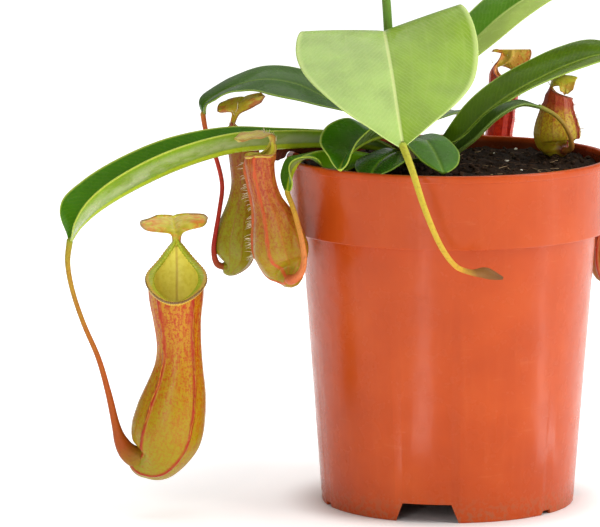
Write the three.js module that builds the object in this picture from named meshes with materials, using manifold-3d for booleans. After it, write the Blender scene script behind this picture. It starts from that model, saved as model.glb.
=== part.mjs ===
// Potted pitcher plant: a terracotta-coloured plastic grower's pot filled with dark peat, and a
// rosette of strap leaves whose tips run out into tendrils that carry hollow, lidded pitchers.
// Millimetres, +Z up. The plant is laid out about the pot's axis, X to the right and Y away from the
// viewer, and the last lines move the whole plant so that its box is centred over the origin.

import * as THREE from 'three';
import { mergeVertices } from 'three/addons/utils/BufferGeometryUtils.js';
import Module from 'manifold-3d';

const wasm = await Module();
wasm.setup();

// Driving dimensions of the pot
const POT_HEIGHT = 129;
const RIM_RADIUS = 60;
const LIP_HEIGHT = 2.6;
const LIP_STANDOUT = 0.6;
const BAND_HEIGHT = 27;
const BAND_TAPER = 0.8;
const BODY_TOP_RADIUS = 54.4;
const FOOT_RADIUS = 46.8;
const WALL = 1.3;
const RIM_THICKNESS = 2.2;
const RIM_ROUNDING = 0.6;
const BASE_LIFT = 7;
const BASE_THICKNESS = 1.6;
const FOOT_RING_EXTRA = 0.6;
const BAND_SHELF = 2;
const POT_SEGMENTS = 48;
const LARGE_NOTCH = { count: 3, azimuth: -101, top: 18, bottom: 24, height: 6.9 };
const SMALL_NOTCH = { count: 3, azimuth: -41, top: 4, bottom: 6, height: 1.6 };
const DRAIN_HOLE = { count: 6, radius: 4.5, ring: 30, segments: 16 };

// Soil, stem and the clearance that touching pieces keep
const CLEARANCE = 0.3;
const SOIL_SIDE_GAP = 0.55;
const SOIL_LEVEL = 124.2;
const SOIL_ROUGHNESS = 0.7;
const SOIL_WAVES = { coarseX: 0.21, coarseY: 0.27, shift: 1.3, fineShare: 0.6, fineX: 0.53, fineY: 0.47 };
const SOIL_SEGMENTS = 36;
const SOIL_EDGE_DROP = 1;
const SOIL_TOP_RADII = [48, 38, 28, 18, 8];
const SOIL_MOUND = { x: 43, y: 26, height: 1.6, spread: 15 };
const STEM_HOLE = { floor: 96, slack: 0.5, steps: 6, sides: 10 };

// Leaf and pitcher walls
const BLADE_THICKNESS = 0.8;
const RIB_HALF_WIDTH = 0.9;
const RIB_SHARE_LIMIT = 0.3;
const KEEL_HEIGHT = 0.5;
const CUP_WALL = 0.8;
const LIP_ROLL = 0.8;
const LIP_CREST_SHARE = 0.6;
const LIP_DEPTH = 0.02;
const WING_HEIGHT = 0.9;

// Colours in sRGB from 0 to 255, and how rough each surface is
const POT_FINISH = { rgb: [201, 92, 48], roughness: 0.3 };
const PEAT_FINISH = { rgb: [52, 38, 28], roughness: 0.95 };
const STEM_FINISH = { rgb: [112, 142, 40], roughness: 0.5 };
const LEAF_ROUGHNESS = 0.4;
const SKIN_ROUGHNESS = 0.45;
const GREEN = [72, 122, 34];
const SHADED_GREEN = [58, 102, 30];
const DRY_BROWN = [86, 38, 26];
const PALE_GREEN = [170, 208, 112];

// Welding distance of equal corners, and the size under which slivers are cleaned away
const WELD = 1e-4;
const SLIVER = 0.02;
const TANGENT_STEP = 0.01;

const UP = new THREE.Vector3(0, 0, 1);
const AWAY = new THREE.Vector3(0, 1, 0);

// Places and directions on curves

const radians = THREE.MathUtils.degToRad;

function headingVector(azimuth) {
  return new THREE.Vector3(Math.cos(radians(azimuth)), Math.sin(radians(azimuth)), 0);
}

// Smooth curve through rows of equal length, t from 0 at the first row to 1 at the last
function sampleRows(rows, t) {
  const place = THREE.MathUtils.clamp(t, 0, 1) * (rows.length - 1);
  const index = Math.min(Math.floor(place), rows.length - 2);
  const part = place - index;
  const at = (k) => rows[THREE.MathUtils.clamp(k, 0, rows.length - 1)];
  return rows[0].map((_, column) => {
    const [a, b, c, d] = [-1, 0, 1, 2].map((step) => at(index + step)[column]);
    const slope = c - a;
    const bend = 2 * a - 5 * b + 4 * c - d;
    const twist = 3 * b - a - 3 * c + d;
    return 0.5 * (2 * b + part * (slope + part * (bend + part * twist)));
  });
}

function pointOn(rows, t) {
  const [x, y, z] = sampleRows(rows, t);
  return new THREE.Vector3(x, y, z);
}

function directionOn(rows, t) {
  const before = pointOn(rows, Math.max(t - TANGENT_STEP, 0));
  const after = pointOn(rows, Math.min(t + TANGENT_STEP, 1));
  return after.sub(before).normalize();
}

// Sideways and upward directions at a place on a curve, from a side direction that never swings
function frameOn(rows, t, sideHint) {
  const ahead = directionOn(rows, t);
  const side = sideHint.clone().addScaledVector(ahead, -sideHint.dot(ahead)).normalize();
  const up = new THREE.Vector3().crossVectors(side, ahead);
  return { ahead, side, up };
}

// Skins and solids

function geometryFrom(points, faces) {
  const geometry = new THREE.BufferGeometry();
  const flat = points.flatMap((point) => [point.x, point.y, point.z]);
  geometry.setAttribute('position', new THREE.Float32BufferAttribute(flat, 3));
  geometry.setIndex(faces.flat());
  return geometry;
}

// Closed skin over rings of equal size, with a middle point closing each end
function loft(rings) {
  const sides = rings[0].length;
  const points = rings.flat();
  const faces = [];
  for (let ring = 0; ring < rings.length - 1; ring += 1) {
    for (let side = 0; side < sides; side += 1) {
      const next = (side + 1) % sides;
      const a = ring * sides + side;
      const b = ring * sides + next;
      faces.push([a, b, b + sides], [a, b + sides, a + sides]);
    }
  }
  const close = (ring, start, flip) => {
    const middle = points.length;
    const centre = new THREE.Vector3();
    ring.forEach((point) => centre.addScaledVector(point, 1 / sides));
    points.push(centre);
    for (let side = 0; side < sides; side += 1) {
      const edge = [start + side, start + ((side + 1) % sides)];
      faces.push([middle, ...(flip ? edge.reverse() : edge)]);
    }
  };
  close(rings[0], 0, true);
  close(rings[rings.length - 1], (rings.length - 1) * sides, false);
  return geometryFrom(points, faces);
}

function toManifold(geometry) {
  const bare = geometry.clone();
  bare.deleteAttribute('normal');
  bare.deleteAttribute('uv');
  const merged = mergeVertices(bare, WELD);
  const mesh = new wasm.Mesh({
    numProp: 3,
    vertProperties: new Float32Array(merged.attributes.position.array),
    triVerts: new Uint32Array(merged.index.array),
  });
  mesh.merge();
  return new wasm.Manifold(mesh);
}

function fromManifold(solid) {
  const mesh = solid.getMesh();
  const corners = new Float32Array(mesh.vertProperties);
  const geometry = new THREE.BufferGeometry();
  geometry.setAttribute('position', new THREE.BufferAttribute(corners, 3));
  geometry.setIndex(new THREE.BufferAttribute(new Uint32Array(mesh.triVerts), 1));
  return geometry;
}

// One solid from several that run into each other, with slivers of the joins cleaned away
function fuse(geometries) {
  const joined = geometries.map(toManifold).reduce((sum, solid) => sum.add(solid));
  return fromManifold(joined.simplify(SLIVER));
}

const plant = new THREE.Group();

function addPiece(name, geometry, { rgb, roughness }) {
  const [red, green, blue] = rgb.map((value) => value / 255);
  const colour = new THREE.Color().setRGB(red, green, blue, THREE.SRGBColorSpace);
  const material = new THREE.MeshStandardMaterial({ color: colour, roughness, metalness: 0 });
  material.name = `${name}_finish`;
  geometry.computeVertexNormals();
  const mesh = new THREE.Mesh(geometry, material);
  mesh.name = name;
  plant.add(mesh);
}

// Pot: a thin moulded cup with a stepped rim band, a raised base and notches in its foot

const BAND_BOTTOM = POT_HEIGHT - BAND_HEIGHT;
const BAND_RADIUS = RIM_RADIUS - LIP_STANDOUT;

function potProfile() {
  const bandFoot = BAND_RADIUS - BAND_TAPER;
  const outside = [
    [FOOT_RADIUS - WALL - FOOT_RING_EXTRA, 0],
    [FOOT_RADIUS, 0],
    [BODY_TOP_RADIUS, BAND_BOTTOM],
    [bandFoot, BAND_BOTTOM],
    [BAND_RADIUS, POT_HEIGHT - LIP_HEIGHT],
    [RIM_RADIUS, POT_HEIGHT - LIP_HEIGHT],
    [RIM_RADIUS, POT_HEIGHT - RIM_ROUNDING],
    [RIM_RADIUS - RIM_ROUNDING, POT_HEIGHT],
  ];
  const inside = [
    [RIM_RADIUS - RIM_THICKNESS, POT_HEIGHT],
    [bandFoot - WALL, BAND_BOTTOM + BAND_SHELF],
    [BODY_TOP_RADIUS - WALL, BAND_BOTTOM + WALL],
    [footRadiusInside(BASE_LIFT + BASE_THICKNESS), BASE_LIFT + BASE_THICKNESS],
    [0, BASE_LIFT + BASE_THICKNESS],
    [0, BASE_LIFT],
    [footRadiusInside(BASE_LIFT), BASE_LIFT],
  ];
  return [...outside, ...inside, outside[0]].map(([radius, z]) => new THREE.Vector2(radius, z));
}

// Inner radius of the tapering body wall at a height
function footRadiusInside(z) {
  return FOOT_RADIUS - WALL + ((BODY_TOP_RADIUS - FOOT_RADIUS) * z) / BAND_BOTTOM;
}

// Lathe geometry turned so that its axis is Z
function turned(profile, segments) {
  return new THREE.LatheGeometry(profile, segments).rotateX(Math.PI / 2);
}

function footNotch({ top, bottom, height }, azimuth) {
  const sink = 1;
  const depth = 14;
  const outline = new THREE.Shape();
  outline.moveTo(-bottom / 2, -sink);
  outline.lineTo(bottom / 2, -sink);
  outline.lineTo(top / 2, height);
  outline.lineTo(-top / 2, height);
  outline.closePath();
  const block = new THREE.ExtrudeGeometry(outline, { depth, bevelEnabled: false });
  return block
    .rotateX(Math.PI / 2)
    .rotateZ(-Math.PI / 2)
    .translate(FOOT_RADIUS + depth / 2, 0, 0)
    .rotateZ(radians(azimuth));
}

function drainHole(azimuth) {
  const { radius, ring, segments } = DRAIN_HOLE;
  const hole = new THREE.CylinderGeometry(radius, radius, BASE_LIFT * 2, segments);
  return hole.rotateX(Math.PI / 2).translate(ring, 0, BASE_LIFT).rotateZ(radians(azimuth));
}

function pot() {
  let solid = toManifold(turned(potProfile(), POT_SEGMENTS));
  [LARGE_NOTCH, SMALL_NOTCH].forEach((notch) => {
    for (let copy = 0; copy < notch.count; copy += 1) {
      const azimuth = notch.azimuth + (360 * copy) / notch.count;
      solid = solid.subtract(toManifold(footNotch(notch, azimuth)));
    }
  });
  for (let copy = 0; copy < DRAIN_HOLE.count; copy += 1) {
    solid = solid.subtract(toManifold(drainHole((360 * copy) / DRAIN_HOLE.count)));
  }
  addPiece('pot', fromManifold(solid), POT_FINISH);
}

// Stem: a short stout stem that stands in the soil and runs up into the rolled youngest leaf

const STEM = [
  [-13, 5, 97, 3.2],
  [-14, 5, 112, 3.3],
  [-15.5, 5.5, 124, 3.4],
  [-17.5, 6.5, 136, 3.2],
  [-20, 7.5, 148, 2.6],
  [-21.6, 8, 160, 1.9],
  [-22.4, 8, 174, 1.7],
  [-23.4, 8, 188, 1.6],
  [-25, 7.5, 202, 1.3],
  [-27.4, 6, 213, 0.8],
  [-30.2, 4, 218, 0.5],
];
const STEM_STEPS = 17;
const STEM_SIDES = 8;

function tube(rows, steps, sides) {
  const rings = [];
  for (let step = 0; step <= steps; step += 1) {
    const t = step / steps;
    const { side, up } = frameOn(rows, t, AWAY);
    const radius = sampleRows(rows, t)[3];
    rings.push(circle(pointOn(rows, t), side, up, radius, sides));
  }
  return loft(rings);
}

// Ring of points that runs against the direction side x up, so that lofts face outward
function circle(centre, side, up, radius, sides) {
  return Array.from({ length: sides }, (_, index) => {
    const angle = (-2 * Math.PI * index) / sides;
    return centre
      .clone()
      .addScaledVector(side, radius * Math.cos(angle))
      .addScaledVector(up, radius * Math.sin(angle));
  });
}

function stem() {
  addPiece('stem', tube(STEM, STEM_STEPS, STEM_SIDES), STEM_FINISH);
}

// Soil: fills the pot, with an uneven top and a plain hole for the stem

function soilBump(x, y) {
  const { coarseX, coarseY, shift, fineShare, fineX, fineY } = SOIL_WAVES;
  const coarse = Math.sin(x * coarseX + shift) * Math.cos(y * coarseY);
  const fine = fineShare * Math.sin(x * fineX - y * fineY);
  const away = Math.hypot(x - SOIL_MOUND.x, y - SOIL_MOUND.y) / SOIL_MOUND.spread;
  return SOIL_ROUGHNESS * (coarse + fine) + SOIL_MOUND.height * Math.exp(-away * away);
}

function soilRing(radius, z, bumpy) {
  return Array.from({ length: SOIL_SEGMENTS }, (_, index) => {
    const angle = (2 * Math.PI * index) / SOIL_SEGMENTS;
    const [x, y] = [radius * Math.cos(angle), radius * Math.sin(angle)];
    return new THREE.Vector3(x, y, z + (bumpy ? soilBump(x, y) : 0));
  });
}

function soil() {
  const floor = BASE_LIFT + BASE_THICKNESS + CLEARANCE;
  const shoulder = BAND_BOTTOM + WALL + CLEARANCE;
  const bandInside = BAND_RADIUS - BAND_TAPER - WALL - SOIL_SIDE_GAP;
  const rings = [
    soilRing(footRadiusInside(floor) - SOIL_SIDE_GAP, floor, false),
    soilRing(BODY_TOP_RADIUS - WALL - SOIL_SIDE_GAP, shoulder, false),
    soilRing(bandInside, BAND_BOTTOM + BAND_SHELF + CLEARANCE, false),
    soilRing(bandInside, SOIL_LEVEL - SOIL_EDGE_DROP, true),
    ...SOIL_TOP_RADII.map((radius) => soilRing(radius, SOIL_LEVEL, true)),
  ];
  const holeRows = STEM.slice(0, 4).map(([x, y, z, radius]) => [x, y, z, radius + STEM_HOLE.slack]);
  holeRows[0][2] = STEM_HOLE.floor;
  const hole = tube(holeRows, STEM_HOLE.steps, STEM_HOLE.sides);
  const solid = toManifold(loft(rings)).subtract(toManifold(hole));
  addPiece('soil', fromManifold(solid), PEAT_FINISH);
}

// Leaf blades. A row is the midrib's place in x, y and z, the half width, the roll about the midrib,
// and the slope of each half at the midrib and at the margin, in degrees, up being positive.

const LEAF_COLUMNS = [0.36, 0.7, 1];
const LID_COLUMNS = [0.6, 1];

// Columns of one half of a blade from the midrib out, as shares of the half width
function halfColumns(columns, halfWidth) {
  const rib = Math.min(RIB_HALF_WIDTH / halfWidth, RIB_SHARE_LIMIT);
  return columns === LEAF_COLUMNS ? [0, rib, ...columns] : [0, ...columns];
}

function bladeSection(rows, t, sideHint, wave, columns) {
  const [x, y, z, halfWidth, roll, ribSlope, marginSlope] = sampleRows(rows, t);
  const middle = new THREE.Vector3(x, y, z);
  const { side, up } = frameOn(rows, t, sideHint);
  const turn = radians(roll);
  const right = side.clone().multiplyScalar(Math.cos(turn)).addScaledVector(up, Math.sin(turn));
  const top = up.clone().multiplyScalar(Math.cos(turn)).addScaledVector(side, -Math.sin(turn));
  const half = (sign) => halfColumns(columns, halfWidth).map((place) => {
    const slope = radians(ribSlope + (marginSlope - ribSlope) * place);
    const mean = radians(ribSlope + ((marginSlope - ribSlope) * place) / 2);
    const ripple = Math.sin(2 * Math.PI * wave.count * t + wave.phase * sign);
    const centre = middle
      .clone()
      .addScaledVector(right, sign * halfWidth * place * Math.cos(mean))
      .addScaledVector(top, halfWidth * place * Math.sin(mean) + wave.height * place * place * ripple);
    const lean = place === 0 ? 0 : slope;
    const normal = top
      .clone()
      .multiplyScalar(Math.cos(lean))
      .addScaledVector(right, -sign * Math.sin(lean));
    const keel = columns === LEAF_COLUMNS && place === 0 ? KEEL_HEIGHT : 0;
    return {
      upper: centre.clone().addScaledVector(normal, BLADE_THICKNESS / 2),
      lower: centre.clone().addScaledVector(normal, -BLADE_THICKNESS / 2 - keel),
    };
  });
  return [...half(-1).reverse(), ...half(1).slice(1)];
}

// Closed blade whose two faces are split into triangles alike
function blade(rows, steps, sideHint, wave, columns) {
  const sections = [];
  for (let step = 0; step <= steps; step += 1) {
    sections.push(bladeSection(rows, step / steps, sideHint, wave, columns));
  }
  const edge = sections[0].length - 1;
  const points = [];
  sections.forEach((section) => section.forEach(({ upper, lower }) => points.push(upper, lower)));
  const upper = (row, column) => 2 * (row * (edge + 1) + column);
  const lower = (row, column) => upper(row, column) + 1;
  const faces = [];
  const quad = (a, b, c, d) => faces.push([a, b, c], [a, c, d]);
  for (let row = 0; row < steps; row += 1) {
    const next = row + 1;
    for (let column = 0; column < edge; column += 1) {
      const beside = column + 1;
      quad(upper(row, column), upper(row, beside), upper(next, beside), upper(next, column));
      faces.push([lower(row, column), lower(next, beside), lower(row, beside)]);
      faces.push([lower(row, column), lower(next, column), lower(next, beside)]);
    }
    quad(lower(row, 0), upper(row, 0), upper(next, 0), lower(next, 0));
    quad(upper(row, edge), lower(row, edge), lower(next, edge), upper(next, edge));
  }
  for (let column = 0; column < edge; column += 1) {
    const beside = column + 1;
    quad(lower(0, column), lower(0, beside), upper(0, beside), upper(0, column));
    quad(upper(steps, column), upper(steps, beside), lower(steps, beside), lower(steps, column));
  }
  return geometryFrom(points, faces);
}

// x, y, z, half width, roll, slope at the midrib, slope at the margin
const LEAVES = [
  {
    name: 'leaf_a', heading: 190, steps: 14, colour: GREEN,
    wave: { height: 0.3, count: 2, phase: 1 },
    rows: [
      [-20.2, 5, 129.5, 2.4, 0, 30, 40],
      [-32, 1, 132, 5.5, 0, 45, 50],
      [-47, -5, 133.2, 7, 0, 48, 54],
      [-63, -11, 133.4, 8.6, 0, 48, 54],
      [-80, -17, 132.6, 10.4, 2, 46, 54],
      [-98, -22, 127.7, 12.2, 6, 45, 56],
      [-114, -25.5, 120.8, 13.2, 9, 43, 55],
      [-127, -28, 113.4, 13.2, 12, 40, 53],
      [-134.8, -29.4, 106.8, 11.2, 16, 34, 48],
      [-138.7, -30, 101.4, 1.4, 0, 10, 16],
    ],
  },
  {
    name: 'leaf_b', heading: 165, steps: 14, colour: GREEN,
    wave: { height: 0.3, count: 2, phase: 0 },
    rows: [
      [-21.6, 8.2, 137.5, 2.4, 0, 25, 30],
      [-32, 11, 142, 6, 8, 20, 15],
      [-44, 14, 147.5, 9.5, 16, 14, 5],
      [-56, 16.5, 153, 11.5, 20, 10, -5],
      [-68, 17, 154.8, 11.5, 20, 10, -10],
      [-79, 15.5, 152.6, 10, 16, 12, -8],
      [-87, 13.5, 148.8, 7.8, 18, 15, 0],
      [-90.2, 12, 146.2, 4.8, 30, 12, 5],
      [-90.7, 10.8, 142.8, 1.5, 25, 10, 10],
    ],
  },
  {
    name: 'leaf_c', heading: 235, steps: 10, colour: GREEN,
    wave: { height: 0.3, count: 2, phase: 0 },
    rows: [
      [-18.2, 1.9, 126, 2.2, 0, 20, 20],
      [-27.5, -5, 129.6, 5, 4, -5, -10],
      [-37, -12.8, 132.2, 7.8, 14, -20, -32],
      [-44.5, -19.4, 133.2, 9.4, 20, -30, -40],
      [-50.4, -25.4, 133, 8.6, 16, -28, -36],
      [-54.8, -29.6, 131.4, 7.4, -14, 4, 2],
      [-58, -33, 126.8, 6, -42, 32, 28],
      [-59.4, -35.6, 120.6, 1.3, 0, 10, 10],
    ],
  },
  {
    name: 'leaf_d', heading: 275, steps: 16, colour: PALE_GREEN,
    wave: { height: 0.6, count: 1.5, phase: 1.2 },
    rows: [
      [-18.3, 2.2, 146, 2.6, 0, 30, 40],
      [-21.5, 1.5, 158, 12, -4, 25, 30],
      [-24, 1, 168.6, 22, -6, 16, 0],
      [-24.3, -7, 175.4, 30, -8, 11, 8],
      [-23.4, -22, 171.5, 33, -4, 2, -4],
      [-21.8, -37, 162.5, 30, 0, 2, -8],
      [-20.3, -50, 152.5, 21, 0, 5, 0],
      [-19, -58.5, 144.5, 9, 0, 10, 5],
      [-18.3, -62, 140.3, 1.5, 0, 10, 10],
    ],
  },
  {
    name: 'leaf_e', heading: 25, steps: 12, colour: GREEN,
    wave: { height: 0.3, count: 2, phase: 0 },
    rows: [
      [-15.1, 8.6, 141, 2.4, 0, 30, 30],
      [-7, 13, 150, 6, -10, 30, 25],
      [2, 18, 160.5, 8.6, -20, 25, 15],
      [12, 23, 170.6, 10, -25, 20, 10],
      [23, 28, 179.6, 10.6, -25, 20, 5],
      [36, 33, 186.6, 10.4, -20, 20, 0],
      [50, 38, 189, 9, -10, 20, 5],
      [63, 42, 186, 5.5, 0, 20, 10],
      [71, 44, 181, 1.4, 0, 10, 10],
    ],
  },
  {
    name: 'leaf_f', heading: 25, steps: 14, colour: GREEN,
    wave: { height: 0.3, count: 2, phase: 2 },
    rows: [
      [-12.6, 6, 130.2, 2.2, 0, 30, 30],
      [-4, 5.4, 130.4, 4, -5, 35, 40],
      [4, 5.4, 134, 6.2, -15, 38, 40],
      [13, 10, 142.4, 7.6, -20, 36, 32],
      [23, 15.5, 149.2, 8.4, -22, 34, 25],
      [34, 21, 154.6, 9, -22, 32, 18],
      [46, 26.5, 159.4, 9.6, -20, 30, 10],
      [58, 31.5, 162.2, 9.4, -16, 28, 5],
      [69, 35, 159.6, 8, -10, 25, 0],
      [77, 36.4, 153.2, 5, 0, 20, 0],
      [80, 36.5, 146.5, 1.4, 0, 10, 10],
    ],
  },
  {
    name: 'leaf_g', heading: 5, steps: 10, colour: GREEN,
    wave: { height: 0.2, count: 2, phase: 0 },
    rows: [
      [-12.5, 4.2, 126.4, 1.8, 0, 20, 20],
      [-2, -1.5, 127.6, 3.2, -10, 30, 30],
      [8, -4.5, 134.4, 4, -15, 30, 30],
      [17, -4.5, 143, 4.2, -15, 28, 20],
      [26, -1.5, 147.8, 3.6, -10, 25, 10],
      [33.5, 2.5, 146.6, 1.1, 0, 10, 10],
    ],
  },
  {
    name: 'leaf_h', heading: 235, steps: 10, colour: GREEN,
    wave: { height: 0.5, count: 2, phase: 0 },
    rows: [
      [-19.4, 3.2, 134.2, 2.2, 0, 25, 30],
      [-24, -6, 136.6, 6.4, -4, 30, 25],
      [-28.7, -15, 136.6, 12, 0, 44, 38],
      [-33.7, -25, 135.4, 13.4, -2, 44, 36],
      [-37.3, -35, 133.9, 11.4, -10, 40, 30],
      [-39.2, -43, 132.2, 5.8, -12, 42, 32],
      [-40.6, -47.5, 130, 1, 0, 10, 10],
    ],
  },
  {
    name: 'leaf_i', heading: 250, steps: 8, colour: SHADED_GREEN,
    wave: { height: 0.3, count: 2, phase: 0 },
    rows: [
      [-17, 2.3, 129.4, 2, 0, 20, 20],
      [-19.8, -10, 131, 5, 0, 15, 10],
      [-22.8, -20, 131.2, 7.8, 0, 10, -5],
      [-26, -31, 130.4, 8.8, 0, 8, -10],
      [-28.4, -41, 128.8, 6.4, 0, 8, -5],
      [-29.4, -47.6, 127.3, 1.4, 0, 5, 5],
    ],
  },
  {
    name: 'leaf_j', heading: 305, steps: 8, colour: SHADED_GREEN,
    wave: { height: 0.4, count: 2, phase: 0 },
    rows: [
      [-14.6, 3.3, 133.5, 2, 0, 20, 20],
      [-10.6, -6, 135.4, 5.6, 0, 15, 15],
      [-8.4, -15, 135.6, 8.6, 0, 10, 0],
      [-6.4, -24, 133.4, 9.4, 0, 8, -5],
      [-4.6, -33, 130.4, 7, 0, 8, 0],
      [-3.4, -40, 127.9, 1.6, 0, 5, 5],
    ],
  },
  {
    name: 'leaf_k', heading: 70, steps: 10, colour: GREEN,
    wave: { height: 0.3, count: 2, phase: 0 },
    rows: [
      [-14.7, 9.3, 134, 2.2, 0, 25, 25],
      [-11, 18, 136.6, 5, 0, 25, 20],
      [-6, 29, 139, 6.8, 0, 20, 5],
      [0, 41, 139.6, 7, 0, 15, 0],
      [6, 53, 138, 6, 0, 15, 0],
      [11, 62, 134.5, 4, 0, 15, 5],
      [13.5, 66.5, 131, 1.3, 0, 10, 10],
    ],
  },
  {
    name: 'leaf_l', heading: 185, steps: 10, colour: DRY_BROWN,
    wave: { height: 0.3, count: 3, phase: 1 },
    rows: [
      [-20.2, 8.6, 126.8, 1.8, 0, -10, -20],
      [-31, 8.4, 128.4, 2.6, 0, -30, -40],
      [-43, 6, 131, 4.4, 0, -55, -70],
      [-50, 4, 132.4, 5.2, 0, -62, -78],
      [-59, 2.4, 133.2, 3.2, 0, -55, -75],
      [-63.4, 1.6, 132, 5, 0, -64, -84],
      [-66.8, 1.2, 129.6, 4.4, 0, -64, -84],
      [-69, 1, 126, 0.8, 0, -10, -10],
    ],
  },
];

function leaves() {
  LEAVES.forEach(({ name, heading, steps, rows, wave, colour }) => {
    const sideHint = new THREE.Vector3().crossVectors(headingVector(heading), UP);
    const geometry = blade(rows, steps, sideHint, wave, LEAF_COLUMNS);
    addPiece(name, geometry, { rgb: colour, roughness: LEAF_ROUGHNESS });
  });
}

// Pitchers. A cup row is the centre of a ring in x, y and z and its radius, from the neck behind the
// mouth down to the tail. The mouth faces an azimuth and slopes from the neck to a front point.

const RING_ANGLES = [0, 30, 39, 48, 75, 105, 135, 160, 180];
const WING_ANGLE = 39;
const WING_END = 0.9;
const CAVITY_FLOOR = 0.8;
const OUTER_STEPS = 10;
const INNER_STEPS = 6;

function ringAngles() {
  const left = RING_ANGLES.slice(1, -1).map((angle) => -angle).reverse();
  return [...RING_ANGLES, ...left];
}

// Place on a cup's wall at an angle from its front, moved outward by extra
function wallPoint(rows, front, t, angle, extra) {
  const ahead = directionOn(rows, t);
  const forward = front.clone().addScaledVector(ahead, -front.dot(ahead)).normalize();
  const side = new THREE.Vector3().crossVectors(forward, ahead);
  const radius = sampleRows(rows, t)[3] + extra;
  return pointOn(rows, t)
    .addScaledVector(forward, radius * Math.cos(radians(angle)))
    .addScaledVector(side, radius * Math.sin(radians(angle)));
}

function cup(rows, front, mouthFront) {
  const ringPoint = (t, angle, extra) => {
    const winged = extra >= 0 && Math.abs(angle) === WING_ANGLE && t < WING_END;
    return wallPoint(rows, front, t, angle, extra + (winged ? WING_HEIGHT : 0));
  };
  const ring = (share, extra, floor = 1) => ringAngles().map((angle) => {
    const back = (1 - Math.cos(radians(angle))) / 2;
    const rim = mouthFront * (1 - (back + back ** 4) / 2);
    return ringPoint(rim + (floor - rim) * share, angle, extra);
  });
  const rings = [];
  for (let step = OUTER_STEPS; step >= 1; step -= 1) {
    rings.push(ring(step / OUTER_STEPS, 0));
  }
  rings.push(ring(LIP_DEPTH, LIP_ROLL), ring(0, LIP_ROLL * LIP_CREST_SHARE), ring(0, -CUP_WALL));
  for (let step = 1; step <= INNER_STEPS; step += 1) {
    rings.push(ring(step / INNER_STEPS, -CUP_WALL, CAVITY_FLOOR));
  }
  return loft(rings);
}

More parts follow.
